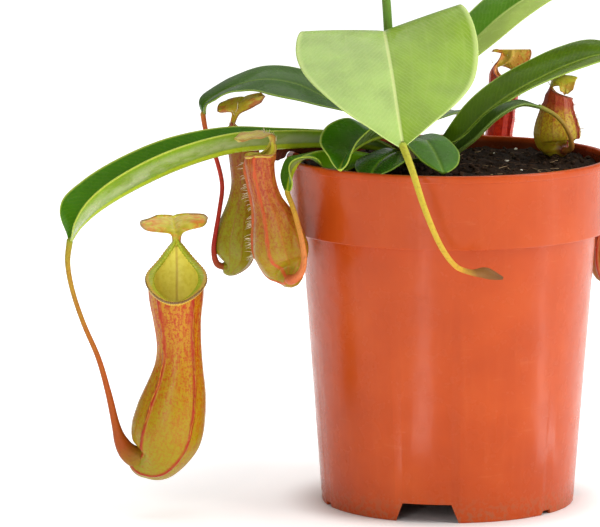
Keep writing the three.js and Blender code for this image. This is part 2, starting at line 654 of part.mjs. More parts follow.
const PITCHERS = [
  {
    name: 'pitcher_a', colour: [168, 132, 52], facing: 270, mouthFront: 0.27,
    cup: [
      [-100.3, -19.5, 101, 2.2],
      [-100.3, -21.5, 96, 6.6],
      [-100.2, -24.5, 89.5, 10],
      [-100.2, -27.5, 81, 10.1],
      [-99.8, -28, 72, 8.8],
      [-99.2, -28, 63, 8.2],
      [-99.3, -28, 55, 8.9],
      [-100.3, -28, 46.5, 11],
      [-102.2, -28, 37.5, 12.8],
      [-104.5, -28, 28.5, 13],
      [-108.2, -28, 20.8, 9.6],
      [-113, -28, 18.2, 4.8],
      [-116.6, -28, 19.4, 2.2],
    ],
    tendril: [
      [-138.9, -30, 100.5, 1.2],
      [-139.6, -30, 93, 1],
      [-137.9, -30, 83, 0.9],
      [-134, -30, 71, 0.9],
      [-128.6, -30, 58, 1],
      [-125, -30, 45, 1.2],
      [-122.4, -29.3, 33, 1.6],
      [-120.6, -28.6, 27, 2.6],
      [-117.8, -28, 22.6, 3.6],
      [-113.4, -28, 20.4, 4.2],
      [-108.6, -28, 21, 3.6],
    ],
    lid: [
      [-100.2, -18.8, 102.4, 2.4, -2, 10, 0],
      [-100.4, -20.6, 104, 10.2, -4, 12, -4],
      [-100.7, -23.6, 106, 12, -5, 18, -8],
      [-100.9, -27.4, 108.2, 12.2, -5, 18, -12],
      [-100.9, -31.5, 110, 10.4, -5, 15, -12],
      [-100.9, -34.6, 111.2, 6, -5, 10, 0],
    ],
  },
  {
    name: 'pitcher_b', colour: [140, 138, 48], facing: 40, mouthFront: 0.2,
    cup: [
      [-79.2, 2.8, 142, 2.2],
      [-77.4, 4, 139, 5.3],
      [-76.4, 5, 133, 5.6],
      [-76.2, 5, 124, 4.6],
      [-76.1, 5, 117, 4.3],
      [-76.9, 5, 110, 5],
      [-78.4, 5, 102, 6.6],
      [-79.4, 5, 95.4, 7.6],
      [-79.6, 5, 90.2, 6.8],
      [-81.4, 4.8, 86.6, 4],
      [-83.6, 4.4, 86.2, 1.8],
    ],
    tendril: [
      [-90.9, 10.4, 142.2, 1],
      [-89.6, 9.5, 135.6, 0.9],
      [-86.2, 8, 127, 0.85],
      [-83.9, 7, 117, 0.85],
      [-84.8, 3.6, 108, 0.85],
      [-86.2, 1.6, 100, 0.85],
      [-87, 1, 93.4, 0.95],
      [-85.8, 2.6, 88, 1.2],
      [-82.6, 4.6, 86.4, 1.3],
    ],
    lid: [
      [-78.8, 3.4, 143.8, 1.8, 0, 0, 0],
      [-78, 4.6, 145.4, 8, 0, 6, -8],
      [-77.2, 6.8, 146.8, 9.6, 0, 8, -8],
      [-76.4, 9.4, 148, 9.4, 0, 8, -8],
      [-75.6, 12, 149, 7, 0, 8, -4],
    ],
  },
  {
    name: 'pitcher_c', colour: [184, 120, 58], facing: 205, mouthFront: 0.18,
    cup: [
      [-66.4, -35.2, 139.8, 2.2],
      [-68.2, -36.4, 135, 4.9],
      [-69.5, -37.2, 131.2, 5.3],
      [-68.6, -37.2, 124, 5],
      [-66.8, -37, 117, 5.5],
      [-64.5, -36.8, 110.5, 7.5],
      [-62.9, -36.6, 104, 9.3],
      [-61.7, -36.6, 98.6, 10],
      [-60.3, -37.2, 93.6, 8.4],
      [-58.8, -39.4, 90.2, 5.2],
      [-58.6, -43.4, 88.8, 2.4],
    ],
    tendril: [
      [-59.5, -36, 119.6, 1],
      [-57.5, -41, 115, 0.95],
      [-55.7, -44.8, 109.3, 0.95],
      [-54.3, -47.6, 104, 1],
      [-53.5, -49, 98, 1.1],
      [-54.4, -49.2, 93.2, 1.3],
      [-56.6, -47.6, 90.4, 1.6],
      [-58.4, -44.6, 89.4, 1.9],
      [-58.8, -41.4, 89.6, 2],
    ],
    lid: [
      [-65.8, -35.1, 140.8, 3, 0, 5, 5],
      [-68, -36.4, 141.4, 6, 0, 5, 0],
      [-71.4, -38.2, 141, 7.2, 0, 5, 0],
      [-74.8, -39.9, 140.4, 6.2, 0, 5, 0],
      [-77.4, -41.2, 139.8, 3, 0, 0, 0],
    ],
  },
  {
    name: 'pitcher_f', colour: [176, 104, 44], facing: 280, mouthFront: 0.2,
    cup: [
      [69.2, 46.4, 136.6, 2.4],
      [68.8, 44.4, 133.6, 5],
      [67.6, 43, 128, 5.7],
      [66.6, 42.4, 120, 5],
      [65.6, 42, 111, 5.6],
      [63.6, 41.6, 101, 7.6],
      [61.6, 41, 92, 8.6],
      [60.4, 40.6, 84, 7],
      [60.4, 40.4, 78.6, 4],
      [63, 40.2, 76.2, 1.8],
    ],
    tendril: [
      [80.1, 36.6, 145.9, 1],
      [83.6, 37, 138, 0.9],
      [86, 37.6, 125, 0.85],
      [84, 38.6, 108, 0.9],
      [78, 39.4, 92, 1],
      [70.4, 40, 80.4, 1.2],
      [65.4, 40.2, 76.6, 1.3],
      [61.6, 40.4, 77.4, 1.3],
    ],
    lid: [
      [69.8, 46.6, 139, 2, 0, 15, 15],
      [70.4, 42, 141, 6.5, 0, 10, 0],
      [71.1, 37.5, 141.2, 7.5, 0, 10, 0],
      [71.7, 33.5, 140.8, 5, 0, 5, 0],
      [72.1, 31, 140.4, 1.8, 0, 0, 0],
    ],
  },
  {
    name: 'pitcher_g', colour: [170, 96, 44], facing: 5, mouthFront: 0.22,
    cup: [
      [40, 22.6, 152.8, 1.8],
      [40.9, 22.3, 150, 4.2],
      [41.3, 22, 146, 5.5],
      [41, 21.7, 142.4, 6.6],
      [40.9, 21.4, 138.4, 8],
      [41, 21.2, 134.4, 8.8],
      [41.2, 21, 131, 7.8],
      [42.3, 19.6, 129, 4.1],
      [43.8, 17.6, 128.8, 1.8],
    ],
    tendril: [
      [33.9, 2.7, 146.3, 0.9],
      [38.6, 5.6, 143.6, 0.8],
      [42.6, 8.4, 139.4, 0.8],
      [45.2, 10.6, 134.6, 0.85],
      [46, 12.6, 130.4, 1],
      [44.6, 16, 128.5, 1.2],
      [42.6, 19, 128.6, 1.2],
    ],
    lid: [
      [40.2, 22, 154.4, 4.6, -16, -10, -25],
      [42, 21.7, 155.2, 6.8, -22, -15, -38],
      [44, 21.4, 155.5, 7.4, -24, -20, -42],
      [46, 21.1, 155.4, 7.2, -24, -20, -42],
      [48, 20.8, 155, 5.8, -22, -15, -36],
    ],
  },
  {
    name: 'pitcher_k', colour: [178, 72, 36], facing: 350, mouthFront: 0.2,
    cup: [
      [22.2, 73.6, 154.8, 2.2],
      [22.4, 73.2, 151, 4.8],
      [23.2, 72.8, 146, 5.8],
      [22.8, 72.6, 139, 5.1],
      [21.8, 72.8, 130, 5],
      [20.6, 73.2, 120, 6],
      [19.6, 74, 109, 8],
      [19.6, 74.6, 99, 9],
      [20.6, 75, 91, 7.6],
      [22.4, 75.4, 86, 4.4],
      [24.6, 75.8, 84.4, 2],
    ],
    tendril: [
      [13.7, 66.8, 130.6, 1],
      [17, 72.5, 122, 0.9],
      [23, 82.6, 112, 0.9],
      [28, 85.4, 101, 0.95],
      [30.4, 83.4, 91, 1.1],
      [28.4, 79, 85, 1.3],
      [24.2, 75.8, 84.2, 1.4],
    ],
    lid: [
      [23.4, 73.4, 155.2, 3.4, 60, 6, 4],
      [24.8, 73.1, 156, 5.2, 78, 6, 0],
      [25.7, 72.8, 157.2, 6.8, 80, 6, 0],
      [26, 72.6, 158.7, 7.5, 80, 4, 0],
      [26, 72.5, 160.1, 7, 80, 0, 0],
    ],
  },
];

// Tendrils that end in a bud instead of a pitcher: x, y, z and radius
const BUDS = [
  {
    name: 'tendril_d', colour: [206, 168, 52], steps: 18,
    rows: [
      [-18.2, -62.5, 140, 1.4],
      [-15.2, -68, 132.5, 1.25],
      [-10.6, -71, 118.7, 1.1],
      [-5.3, -72, 106.4, 1],
      [0, -72, 98.9, 0.95],
      [5.6, -72, 96.4, 1.05],
      [10.6, -72, 96.2, 2],
      [13.8, -72, 95.2, 1.6],
      [17.2, -72, 94.2, 0.5],
    ],
  },
  {
    name: 'tendril_e', colour: [150, 150, 60], steps: 18,
    rows: [
      [71.3, 44.1, 180.5, 1],
      [75.6, 47.6, 172, 0.9],
      [78, 52, 162, 0.85],
      [78, 54.6, 152, 0.85],
      [76.4, 55.4, 142, 0.9],
      [75.8, 55.6, 136, 1.3],
      [76.2, 55.6, 131, 2.3],
      [77.8, 55.6, 127, 1.8],
      [79.4, 55.6, 124.6, 0.6],
    ],
  },
];

const TENDRIL_SIDES = 6;
const TENDRIL_STEPS = 14;
const LID_STEPS = 10;
const LID_SEAT = 0.04;
const LID_ROOT_HALF_WIDTH = 1.4;
const FLAT_WAVE = { height: 0, count: 0, phase: 0 };

// First row of a lid, seated in the middle of the wall behind the mouth
function lidRoot(rows, front) {
  const root = wallPoint(rows, front, LID_SEAT, 180, -CUP_WALL / 2);
  return [root.x, root.y, root.z, LID_ROOT_HALF_WIDTH, 0, 0, 0];
}

function pitchers() {
  PITCHERS.forEach(({ name, colour, facing, mouthFront, cup: rows, tendril, lid }) => {
    const front = headingVector(facing);
    const lidSide = new THREE.Vector3().crossVectors(front, UP);
    const parts = [
      cup(rows, front, mouthFront),
      tube(tendril, TENDRIL_STEPS, TENDRIL_SIDES),
      blade([lidRoot(rows, front), ...lid], LID_STEPS, lidSide, FLAT_WAVE, LID_COLUMNS),
    ];
    addPiece(name, fuse(parts), { rgb: colour, roughness: SKIN_ROUGHNESS });
  });
}

function buds() {
  BUDS.forEach(({ name, colour, steps, rows }) => {
    addPiece(name, tube(rows, steps, TENDRIL_SIDES), { rgb: colour, roughness: SKIN_ROUGHNESS });
  });
}

pot();
soil();
stem();
leaves();
pitchers();
buds();

// The plant's box is centred over the origin, with its lowest face at height 0
function centred(group) {
  const box = new THREE.Box3().setFromObject(group, true);
  const middle = box.getCenter(new THREE.Vector3());
  group.children.forEach((mesh) => mesh.position.set(-middle.x, -middle.y, -box.min.z));
  return group;
}

export default centred(plant);
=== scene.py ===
"""Visual model of the potted pitcher plant: a glossy terracotta-coloured pot, dark peat, strap
leaves with their veins, and hanging pitchers with ribbed rims, speckled skins and lids.

The rows of numbers are the plant's own: millimetres about the pot's axis, +X right, +Y away, +Z up.
"""

import math
import random

import bmesh
import bpy
import numpy as np
from mathutils import Matrix, Vector, noise


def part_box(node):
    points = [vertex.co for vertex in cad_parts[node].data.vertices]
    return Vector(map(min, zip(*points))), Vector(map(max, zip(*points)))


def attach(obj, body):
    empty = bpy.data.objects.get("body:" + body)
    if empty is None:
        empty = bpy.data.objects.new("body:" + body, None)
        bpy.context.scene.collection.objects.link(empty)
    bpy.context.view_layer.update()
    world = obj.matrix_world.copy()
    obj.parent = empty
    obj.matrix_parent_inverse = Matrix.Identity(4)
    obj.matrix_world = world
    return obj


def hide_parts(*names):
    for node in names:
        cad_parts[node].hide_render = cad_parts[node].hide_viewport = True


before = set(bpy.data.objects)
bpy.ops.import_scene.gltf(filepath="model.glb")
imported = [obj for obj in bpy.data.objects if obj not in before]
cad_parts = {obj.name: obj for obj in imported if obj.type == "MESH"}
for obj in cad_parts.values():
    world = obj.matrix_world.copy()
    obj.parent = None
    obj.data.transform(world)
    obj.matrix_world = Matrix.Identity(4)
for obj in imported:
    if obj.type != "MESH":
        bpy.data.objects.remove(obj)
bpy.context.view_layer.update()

MM = 0.001
UP = np.array([0.0, 0.0, 1.0])
AWAY = np.array([0.0, 1.0, 0.0])
pot_low, pot_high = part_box("pot")
POT_AXIS = np.array([(pot_low.x + pot_high.x) / 2, (pot_low.y + pot_high.y) / 2, 0.0])


# Curves: smooth paths through rows of numbers, and the directions along them

def sample_rows(rows, places):
    """Row at each place along a smooth curve through the rows, place 0 being the first row."""
    rows = np.asarray(rows, float)
    place = np.clip(places, 0, 1) * (len(rows) - 1)
    index = np.minimum(place.astype(int), len(rows) - 2)
    part = (place - index)[..., None]
    before, start, end, after = (
        rows[np.clip(index + step, 0, len(rows) - 1)] for step in (-1, 0, 1, 2)
    )
    bend = 2 * before - 5 * start + 4 * end - after
    twist = 3 * start - before - 3 * end + after
    return 0.5 * (2 * start + part * (end - before + part * (bend + part * twist)))


def unit(vectors):
    """The vectors at length 1."""
    return vectors / np.linalg.norm(vectors, axis=-1, keepdims=True)


def directions(rows, places):
    """Direction of travel at each place."""
    step = 0.01
    ahead = sample_rows(rows, np.minimum(places + step, 1))[..., :3]
    return unit(ahead - sample_rows(rows, np.maximum(places - step, 0))[..., :3])


def frames(rows, places, side_hint):
    """Sideways and upward directions at each place, from a side direction that never swings."""
    ahead = directions(rows, places)
    side = unit(side_hint - ahead * (ahead @ side_hint)[..., None])
    return side, np.cross(side, ahead)


def heading(azimuth):
    """Level direction at an azimuth in degrees."""
    return np.array([math.cos(math.radians(azimuth)), math.sin(math.radians(azimuth)), 0.0])


def smooth(values, low, high):
    """0 below low, 1 above high, and a smooth rise between them."""
    share = np.clip((values - low) / (high - low), 0, 1)
    return share * share * (3 - 2 * share)


# Pieces: meshes in metres that ride on the part's one body

def settle(piece, material, replaced=()):
    """Puts an object into the scene as a piece of the part."""
    if piece.name not in bpy.context.scene.collection.objects:
        bpy.context.scene.collection.objects.link(piece)
    piece.data.materials.clear()
    piece.data.materials.append(material)
    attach(piece, "root")
    if replaced:
        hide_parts(*replaced)


def add_marks(mesh, marks):
    """Gives a mesh its numbers per point, which the materials read."""
    for mark, values in marks.items():
        layer = mesh.attributes.new(mark, "FLOAT", "POINT")
        layer.data.foreach_set("value", np.asarray(values, np.float32).ravel())


def add_piece(name, points, faces, material, replaced=(), slot=None, marks=None):
    """A smooth mesh piece from points in millimetres, with a number per point for each mark."""
    mesh = bpy.data.meshes.new(name)
    metres = np.asarray(points, float).reshape(-1, 3) * MM + POT_AXIS
    mesh.from_pydata(metres.tolist(), [], [list(face) for face in faces])
    mesh.validate()
    add_marks(mesh, marks or {})
    mesh.shade_smooth()
    settle(bpy.data.objects.new(name, mesh), material, replaced)


def skin_faces(rings, sides):
    """Faces of a skin over rings of equal size, rings numbered from 0."""
    ring, side = np.meshgrid(np.arange(rings - 1), np.arange(sides), indexing="ij")
    here = ring * sides + side
    beside = ring * sides + (side + 1) % sides
    return np.stack([here, beside, beside + sides, here + sides], -1).reshape(-1, 4)


def closed_skin(rings, sides):
    """Faces of such a skin, with a face over its first and its last ring."""
    last = (rings - 1) * sides
    return [*skin_faces(rings, sides).tolist(), list(range(sides))[::-1], list(range(last, last + sides))]


def tube(rows, steps, sides):
    """Points and faces round a path whose rows are x, y, z and radius, with each point's place."""
    places = np.linspace(0, 1, steps + 1)
    side, up = frames(rows, places, AWAY)
    row = sample_rows(rows, places)
    angle = -2 * np.pi * np.arange(sides) / sides
    ring = side[:, None] * np.cos(angle)[None, :, None] + up[:, None] * np.sin(angle)[None, :, None]
    points = row[:, None, :3] + ring * row[:, None, 3:4]
    return points.reshape(-1, 3), closed_skin(steps + 1, sides), np.repeat(places, sides)


def joined(parts):
    """One set of points and faces from several."""
    points, faces, start = [], [], 0
    for part_points, part_faces in parts:
        points.append(part_points)
        faces += [[start + corner for corner in face] for face in part_faces]
        start += len(part_points)
    return np.concatenate(points), faces


# Materials: a small builder, then one function for each finish

def linear(rgb):
    """sRGB colour from 0 to 255 as the linear colour that a shader takes."""
    shares = [value / 255 for value in rgb]
    return [*(s / 12.92 if s <= 0.04045 else ((s + 0.055) / 1.055) ** 2.4 for s in shares), 1.0]


def shade(rgb, share):
    """The colour made darker or lighter by a share."""
    return tuple(min(value * share, 255) for value in rgb)


class NodeTree:
    """A node tree in the making."""

    def __init__(self, tree):
        self.tree = tree

    def feed(self, socket, value):
        if isinstance(value, bpy.types.NodeSocket):
            self.tree.links.new(value, socket)
        else:
            socket.default_value = value

    def node(self, kind, feeds=None, **settings):
        made = self.tree.nodes.new("ShaderNode" + kind)
        for name, value in settings.items():
            setattr(made, name, value)
        for socket, value in (feeds or {}).items():
            self.feed(made.inputs[socket], value)
        return made

    def map_range(self, value, low, high, to_low=0.0, to_high=1.0, **settings):
        feeds = {"Value": value, "From Min": low, "From Max": high, "To Min": to_low, "To Max": to_high}
        return self.node("MapRange", feeds, **settings).outputs["Result"]


class Finish(NodeTree):
    """A material in the making. Its methods give the output of the node that they add last."""

    def __init__(self, name, **plain):
        self.material = bpy.data.materials.new(name)
        self.material.use_nodes = True
        super().__init__(self.material.node_tree)
        self.shader = self.tree.nodes["Principled BSDF"]
        for socket, value in plain.items():
            self.shader.inputs[socket.replace("_", " ")].default_value = value

    def wire(self, **sockets):
        """Feeds the shader's sockets and gives the finished material."""
        for socket, value in sockets.items():
            self.feed(self.shader.inputs[socket.replace("_", " ")], value)
        return self.material

    def mark(self, name):
        return self.node("Attribute", attribute_name=name).outputs["Fac"]

    def place(self):
        return self.node("TexCoord").outputs["Object"]

    def stretched(self, x, y, z):
        return self.node("Mapping", {"Vector": self.place(), "Scale": (x, y, z)}).outputs["Vector"]

    def noise(self, scale, detail, roughness=0.5, vector=None):
        feeds = {"Vector": vector or self.place(), "Scale": scale, "Detail": detail, "Roughness": roughness}
        return self.node("TexNoise", feeds).outputs["Fac"]

    def cells(self, scale, feature="F1"):
        feeds = {"Vector": self.place(), "Scale": scale}
        return self.node("TexVoronoi", feeds, feature=feature).outputs["Distance"]

    def math(self, operation, first, second=0.0):
        return self.node("Math", {0: first, 1: second}, operation=operation).outputs["Value"]

    def times(self, first, second):
        return self.math("MULTIPLY", first, second)

    def plus(self, first, second):
        return self.math("ADD", first, second)

    def largest(self, first, second):
        return self.math("MAXIMUM", first, second)

    def waves(self, value, cycles):
        return self.math("SINE", self.times(value, math.tau * cycles))

    def rise(self, value, low, high, to_low=0.0, to_high=1.0):
        """A smooth change from one value to another, between low and high."""
        return self.map_range(value, low, high, to_low, to_high, interpolation_type="SMOOTHSTEP")

    def patches(self, scale, detail, low, high, to_low=0.0, to_high=1.0, roughness=0.5):
        return self.rise(self.noise(scale, detail, roughness), low, high, to_low, to_high)

    def drift(self, scale, detail, width):
        """Noise about zero, in a band as wide as width."""
        return self.times(self.math("SUBTRACT", self.noise(scale, detail), 0.5), width)

    def ramp(self, value, stops):
        made = self.node("ValToRGB", {"Fac": value})
        band = made.color_ramp
        while len(band.elements) < len(stops):
            band.elements.new(1.0)
        for element, (place, rgb) in zip(band.elements, stops):
            element.position = place
            element.color = linear(rgb)
        return made.outputs["Color"]

    def layers(self, colour, *coats):
        """Colours laid over a first one, each coat given as its share and its colour."""
        for share, over in coats:
            made = self.node("Mix", data_type="RGBA")
            for socket, value in ((0, share), (6, colour), (7, over)):
                self.feed(made.inputs[socket], linear(value) if isinstance(value, tuple) else value)
            colour = made.outputs[2]
        return colour

    def bumps(self, *heights):
        """Bumps on one another, each given as its height, distance and strength."""
        feeds = {}
        for height, distance, strength in heights:
            feeds |= {"Height": height, "Distance": distance, "Strength": strength}
            feeds["Normal"] = self.node("Bump", feeds).outputs["Normal"]
        return feeds["Normal"]


def pot_plastic():
    """Glossy moulded plastic with a faintly mottled skin, draw lines, scuffs, dust at its foot and painted
    shade on its inner wall.
    """
    finish = Finish("terracotta_plastic", IOR=1.5, Specular_IOR_Level=0.24)
    mottle = finish.noise(55, 4)
    draws = finish.noise(1.0, 3, vector=finish.stretched(420, 420, 14))
    scuffs = finish.noise(1.0, 4, vector=finish.stretched(70, 70, 500))
    height = finish.node("SeparateXYZ", {0: finish.place()}).outputs["Z"]
    dust = finish.times(finish.rise(height, 0.012, 0.0), finish.patches(600, 3, 0.45, 0.62))
    # Painted shade: the inner wall below the rim is darkened toward deep brown, as if in the pot's shadow.
    inside = finish.times(finish.mark("inside"), finish.rise(height, 0.1285, 0.1265, 0.0, 0.8))
    colour = finish.layers(
        finish.ramp(mottle, [(0.3, (176, 66, 16)), (0.52, (182, 70, 18)), (0.72, (188, 76, 23))]),
        (finish.rise(draws, 0.5, 0.75, 0.0, 0.12), (204, 96, 46)),
        (finish.rise(scuffs, 0.66, 0.74, 0.0, 0.2), (208, 112, 68)),
        (finish.times(dust, 0.45), (150, 106, 76)),
        (inside, (70, 26, 14)),
    )
    rough = finish.plus(finish.patches(140, 4, 0.3, 0.75, 0.22, 0.3), finish.times(dust, 0.3))
    normal = finish.bumps((mottle, 0.0012, 0.35), (draws, 0.00012, 0.5), (finish.noise(900, 2), 0.00006, 0.4))
    return finish.wire(Base_Color=colour, Roughness=rough, Normal=normal)


def peat(name, dark, light):
    """Dark damp peat."""
    finish = Finish(name, Specular_IOR_Level=0.15)
    stops = [(0.34, dark), (0.6, light), (0.85, (84, 60, 40))]
    return finish.wire(
        Base_Color=finish.ramp(finish.noise(420, 5, 0.65), stops),
        Roughness=finish.patches(300, 3, 0.3, 0.8, 0.75, 1.0),
        Normal=finish.bumps((finish.noise(1500, 4), 0.0006, 0.9)),
    )


def leaf_skin(name, tones):
    """Leaf surface: glossy above, paler and duller below with a painted sheen, with midrib, veins and a light
    margin; one upper half may be painted lighter for light on it.
    """
    finish = Finish(name, IOR=1.45, Specular_IOR_Level=0.22, Subsurface_Weight=0.12,
                    Subsurface_Scale=0.0012, Subsurface_Radius=(0.5, 1.0, 0.2))
    signed = finish.mark("across")
    across = finish.math("ABSOLUTE", signed)
    off_rib = finish.times(across, finish.mark("half_width"))
    above = finish.rise(finish.mark("upper_face"), 0.35, 0.65)
    slant = finish.plus(finish.times(finish.mark("along"), 0.62), finish.times(off_rib, -0.75))
    slant = finish.plus(slant, finish.times(finish.noise(160, 2), 2.2))
    side_veins = finish.rise(finish.waves(slant, 1 / 1.3), 0.2, 1.0)
    long_veins = finish.rise(finish.waves(across, 5), 0.82, 1.0)
    net = finish.rise(finish.cells(900, "DISTANCE_TO_EDGE"), 0.09, 0.0)
    veins = finish.largest(side_veins, finish.times(long_veins, 0.5))
    veins = finish.largest(veins, finish.times(net, 0.3))
    cloud = finish.noise(75, 4)
    blotch = finish.rise(cloud, 0.35, 0.7)
    left, right, under = (
        finish.layers(shade(tones[part], 0.95), (blotch, shade(tones[part], 1.05)))
        for part in ("left", "right", "under")
    )
    # Painted light: where a leaf's left and right tones differ, the lighter half stands for light and sheen
    # falling on it.
    top = finish.layers(left, (finish.rise(signed, -0.03, 0.03), right))
    # Painted sheen: a pale streaky band along the middle of each half below, standing in for a reflection.
    band = finish.times(finish.rise(across, 0.1, 0.4), finish.rise(across, 0.98, 0.55))
    streaks = finish.noise(1.0, 3, vector=finish.stretched(60, 200, 200))
    band = finish.times(band, finish.rise(streaks, 0.2, 0.6))
    keel = finish.times(finish.rise(off_rib, 2.3, 1.3), finish.math("SUBTRACT", 1.0, above))
    groove = finish.times(finish.rise(off_rib, 0.85, 0.3, 0.0, tones["groove"]), above)
    colour = finish.layers(
        under,
        (finish.times(band, tones["painted_sheen"]), (200, 208, 166)),
        (above, top),
        (finish.times(veins, tones["veins"]), tones["rib"]),
        (finish.largest(keel, groove), tones["rib"]),
        (finish.rise(across, 0.93, 0.99, 0.0, 0.85), tones["margin"]),
        (finish.patches(700, 3, 0.68, 0.76, 0.0, 0.25, 0.6), (96, 74, 26)),
    )
    rough = finish.plus(finish.patches(320, 3, 0.3, 0.8, 0.22, 0.4), finish.times(above, -0.04))
    grain = finish.noise(2600, 2)
    normal = finish.bumps((veins, -0.00003, 0.4), (cloud, 0.0016, 0.25), (grain, 0.00003, 0.5))
    return finish.wire(Base_Color=colour, Roughness=rough, Normal=normal)


def tendril_skin(name, stops):
    """Thin stalk whose colour runs from the leaf's green to the pitcher's rust, with fine fuzz."""
    finish = Finish(name, IOR=1.45, Specular_IOR_Level=0.25, Subsurface_Weight=0.04,
                    Subsurface_Scale=0.001, Subsurface_Radius=(0.9, 0.5, 0.2))
    along = finish.plus(finish.mark("along"), finish.drift(180, 3, 0.16))
    streaks = finish.patches(1100, 3, 0.5, 0.7, 0.0, 0.3)
    return finish.wire(
        Base_Color=finish.layers(finish.ramp(along, stops), (streaks, (122, 58, 24))),
        Roughness=finish.patches(900, 2, 0.3, 0.7, 0.35, 0.6),
        Normal=finish.bumps((finish.noise(1700, 3), 0.00012, 0.7)),
    )


def rib_lines(finish, around, girth):
    """Where a pitcher's ribs run: broad and strong under the wings, thin and faint elsewhere."""
    lines = None
    for angle in RIB_ANGLES:
        off = finish.math("ABSOLUTE", finish.math("SUBTRACT", around, angle / 180))
        millimetres = finish.times(finish.times(off, math.pi), girth)
        outer, inner, share = (1.1, 0.3, 1.0) if angle == WING_ANGLE else (0.6, 0.05, 0.3)
        line = finish.rise(millimetres, outer, inner, 0.0, share)
        lines = line if lines is None else finish.largest(lines, line)
    return finish.times(lines, finish.patches(260, 3, 0.3, 0.55, 0.7, 1.0))


def pitcher_skin(name, heights, inside, speckle, rib, redness):
    """Pitcher wall: rust speckles and streaks over olive, red ribs, and a paler mottled inside."""
    finish = Finish(name, IOR=1.45, Specular_IOR_Level=0.3, Subsurface_Weight=0.04,
                    Subsurface_Scale=0.001, Subsurface_Radius=(0.9, 0.6, 0.2))
    down, around, inner, girth = (
        finish.mark(mark) for mark in ("down", "around", "inner", "girth")
    )
    fine = finish.patches(1100, 4, 0.48, 0.6, roughness=0.7)
    spots = finish.rise(finish.cells(620), 0.3, 0.12)
    blots = finish.times(finish.largest(fine, spots), finish.rise(down, 0.25, 0.85, 1.0, 0.35))
    streak_map = finish.node("CombineXYZ", {0: finish.times(around, 30.0), 1: finish.times(down, 17.0)})
    streaks = finish.rise(finish.noise(1.0, 4, 0.65, streak_map.outputs["Vector"]), 0.46, 0.6)
    streaks = finish.times(streaks, finish.rise(down, 0.75, 0.2, 0.22, 0.8))
    lines = rib_lines(finish, around, girth)
    off_back = finish.times(finish.math("SUBTRACT", 1.0, around), girth)
    lining = finish.layers(
        inside[0],
        (finish.patches(500, 4, 0.4, 0.65), inside[1]),
        (finish.rise(off_back, 0.22, 0.05, 0.0, 0.5), inside[2]),
    )
    colour = finish.layers(
        finish.ramp(finish.plus(down, finish.drift(110, 3, 0.22)), heights),
        (finish.times(blots, redness), speckle),
        (finish.times(streaks, redness), speckle),
        (finish.times(lines, 0.95), rib),
        (finish.rise(inner, 0.4, 0.6), lining),
    )
    return finish.wire(
        Base_Color=colour,
        Roughness=finish.patches(420, 3, 0.3, 0.75, 0.26, 0.46),
        Normal=finish.bumps((finish.noise(260, 3), 0.0006, 0.35), (lines, 0.0003, 0.5),
                            (finish.noise(2100, 3), 0.00008, 0.7)),
    )


def rim_skin(name, body, edge):
    """Pitcher rim: wet and smooth, with a green inner roll, a warm flange and a dark outer edge."""
    finish = Finish(name, IOR=1.5, Subsurface_Weight=0.1, Subsurface_Scale=0.001,
                    Subsurface_Radius=(0.8, 0.8, 0.2), Coat_Weight=0.3)
    roll = finish.plus(finish.mark("roll"), finish.drift(500, 3, 0.2))
    teeth = finish.rise(finish.waves(finish.mark("turn"), RIM_RIBS), 0.1, 0.9)
    colour = finish.layers(
        body[0],
        (finish.patches(420, 3, 0.35, 0.7), body[1]),
        (finish.rise(roll, 0.5, 0.66), body[2]),
        (finish.times(teeth, 0.2), body[2]),
        (finish.rise(roll, 0.9, 0.97, 0.0, 0.9), edge),
    )
    rough = finish.patches(380, 2, 0.3, 0.7, 0.14, 0.26)
    return finish.wire(Base_Color=colour, Roughness=rough, Normal=finish.bumps((teeth, 0.0001, 0.5)))


def lid_skin(name, body, spots, edge):
    """Lid: leathery, greener along its middle, blushed and dotted with glands outward, dark at its edge."""
    finish = Finish(name, IOR=1.45, Specular_IOR_Level=0.35, Subsurface_Weight=0.12,
                    Subsurface_Scale=0.0012, Subsurface_Radius=(0.8, 0.8, 0.2))
    across = finish.math("ABSOLUTE", finish.mark("across"))
    glands = finish.rise(finish.cells(560), 0.34, 0.14)
    outward = finish.rise(across, 0.15, 0.7, 0.15, 0.8)
    blush = finish.times(finish.patches(330, 4, 0.42, 0.6, roughness=0.6), outward)
    colour = finish.layers(
        body[0],
        (finish.patches(260, 4, 0.35, 0.65), body[1]),
        (finish.times(glands, 0.5), spots),
        (blush, spots),
        (finish.rise(across, 0.9, 0.99, 0.0, 0.8), edge),
    )
    return finish.wire(
        Base_Color=colour,
        Roughness=finish.patches(500, 3, 0.3, 0.7, 0.3, 0.5),
        Normal=finish.bumps((glands, 0.00025, 0.6), (finish.noise(1300, 3), 0.00015, 0.6)),
    )


def speckled(name, tones, scale, roughness):
    """Small dry things: two tones broken up by fine noise."""
    finish = Finish(name, Specular_IOR_Level=0.3)
    return finish.wire(
        Base_Color=finish.ramp(finish.noise(scale, 4, 0.6), [(0.35, tones[0]), (0.65, tones[1])]),
        Roughness=finish.patches(scale * 1.5, 3, 0.3, 0.7, roughness - 0.1, roughness + 0.1),
        Normal=finish.bumps((finish.noise(scale * 2.5, 3), 0.0003, 0.7)),
    )


# Pot: a lathe-turned shell with rounded edges, notches in its foot and drain holes in its base

POT_HEIGHT = 129
RIM_RADIUS = 60
LIP_HEIGHT = 2.6
LIP_STANDOUT = 0.6
BAND_BOTTOM = 102
BAND_TAPER = 0.8
BODY_TOP_RADIUS = 54.4
FOOT_RADIUS = 46.8
FOOT_RING_EXTRA = 0.6
WALL = 1.3
RIM_THICKNESS = 2.2
BASE_LIFT = 7
BASE_THICKNESS = 1.6
POT_SEGMENTS = 240
FILLET_STEPS = 4
SOFT_EDGE = 0.25
SOFT_EDGE_ANGLE = 50
SHARP_ANGLE = 32
LARGE_NOTCH = {"count": 3, "azimuth": -101, "top": 18, "bottom": 24, "height": 6.9}
SMALL_NOTCH = {"count": 3, "azimuth": -41, "top": 4, "bottom": 6, "height": 1.6}
NOTCH_REACH = 7
DRAIN_HOLE = {"count": 6, "radius": 4.5, "ring": 30, "segments": 48}


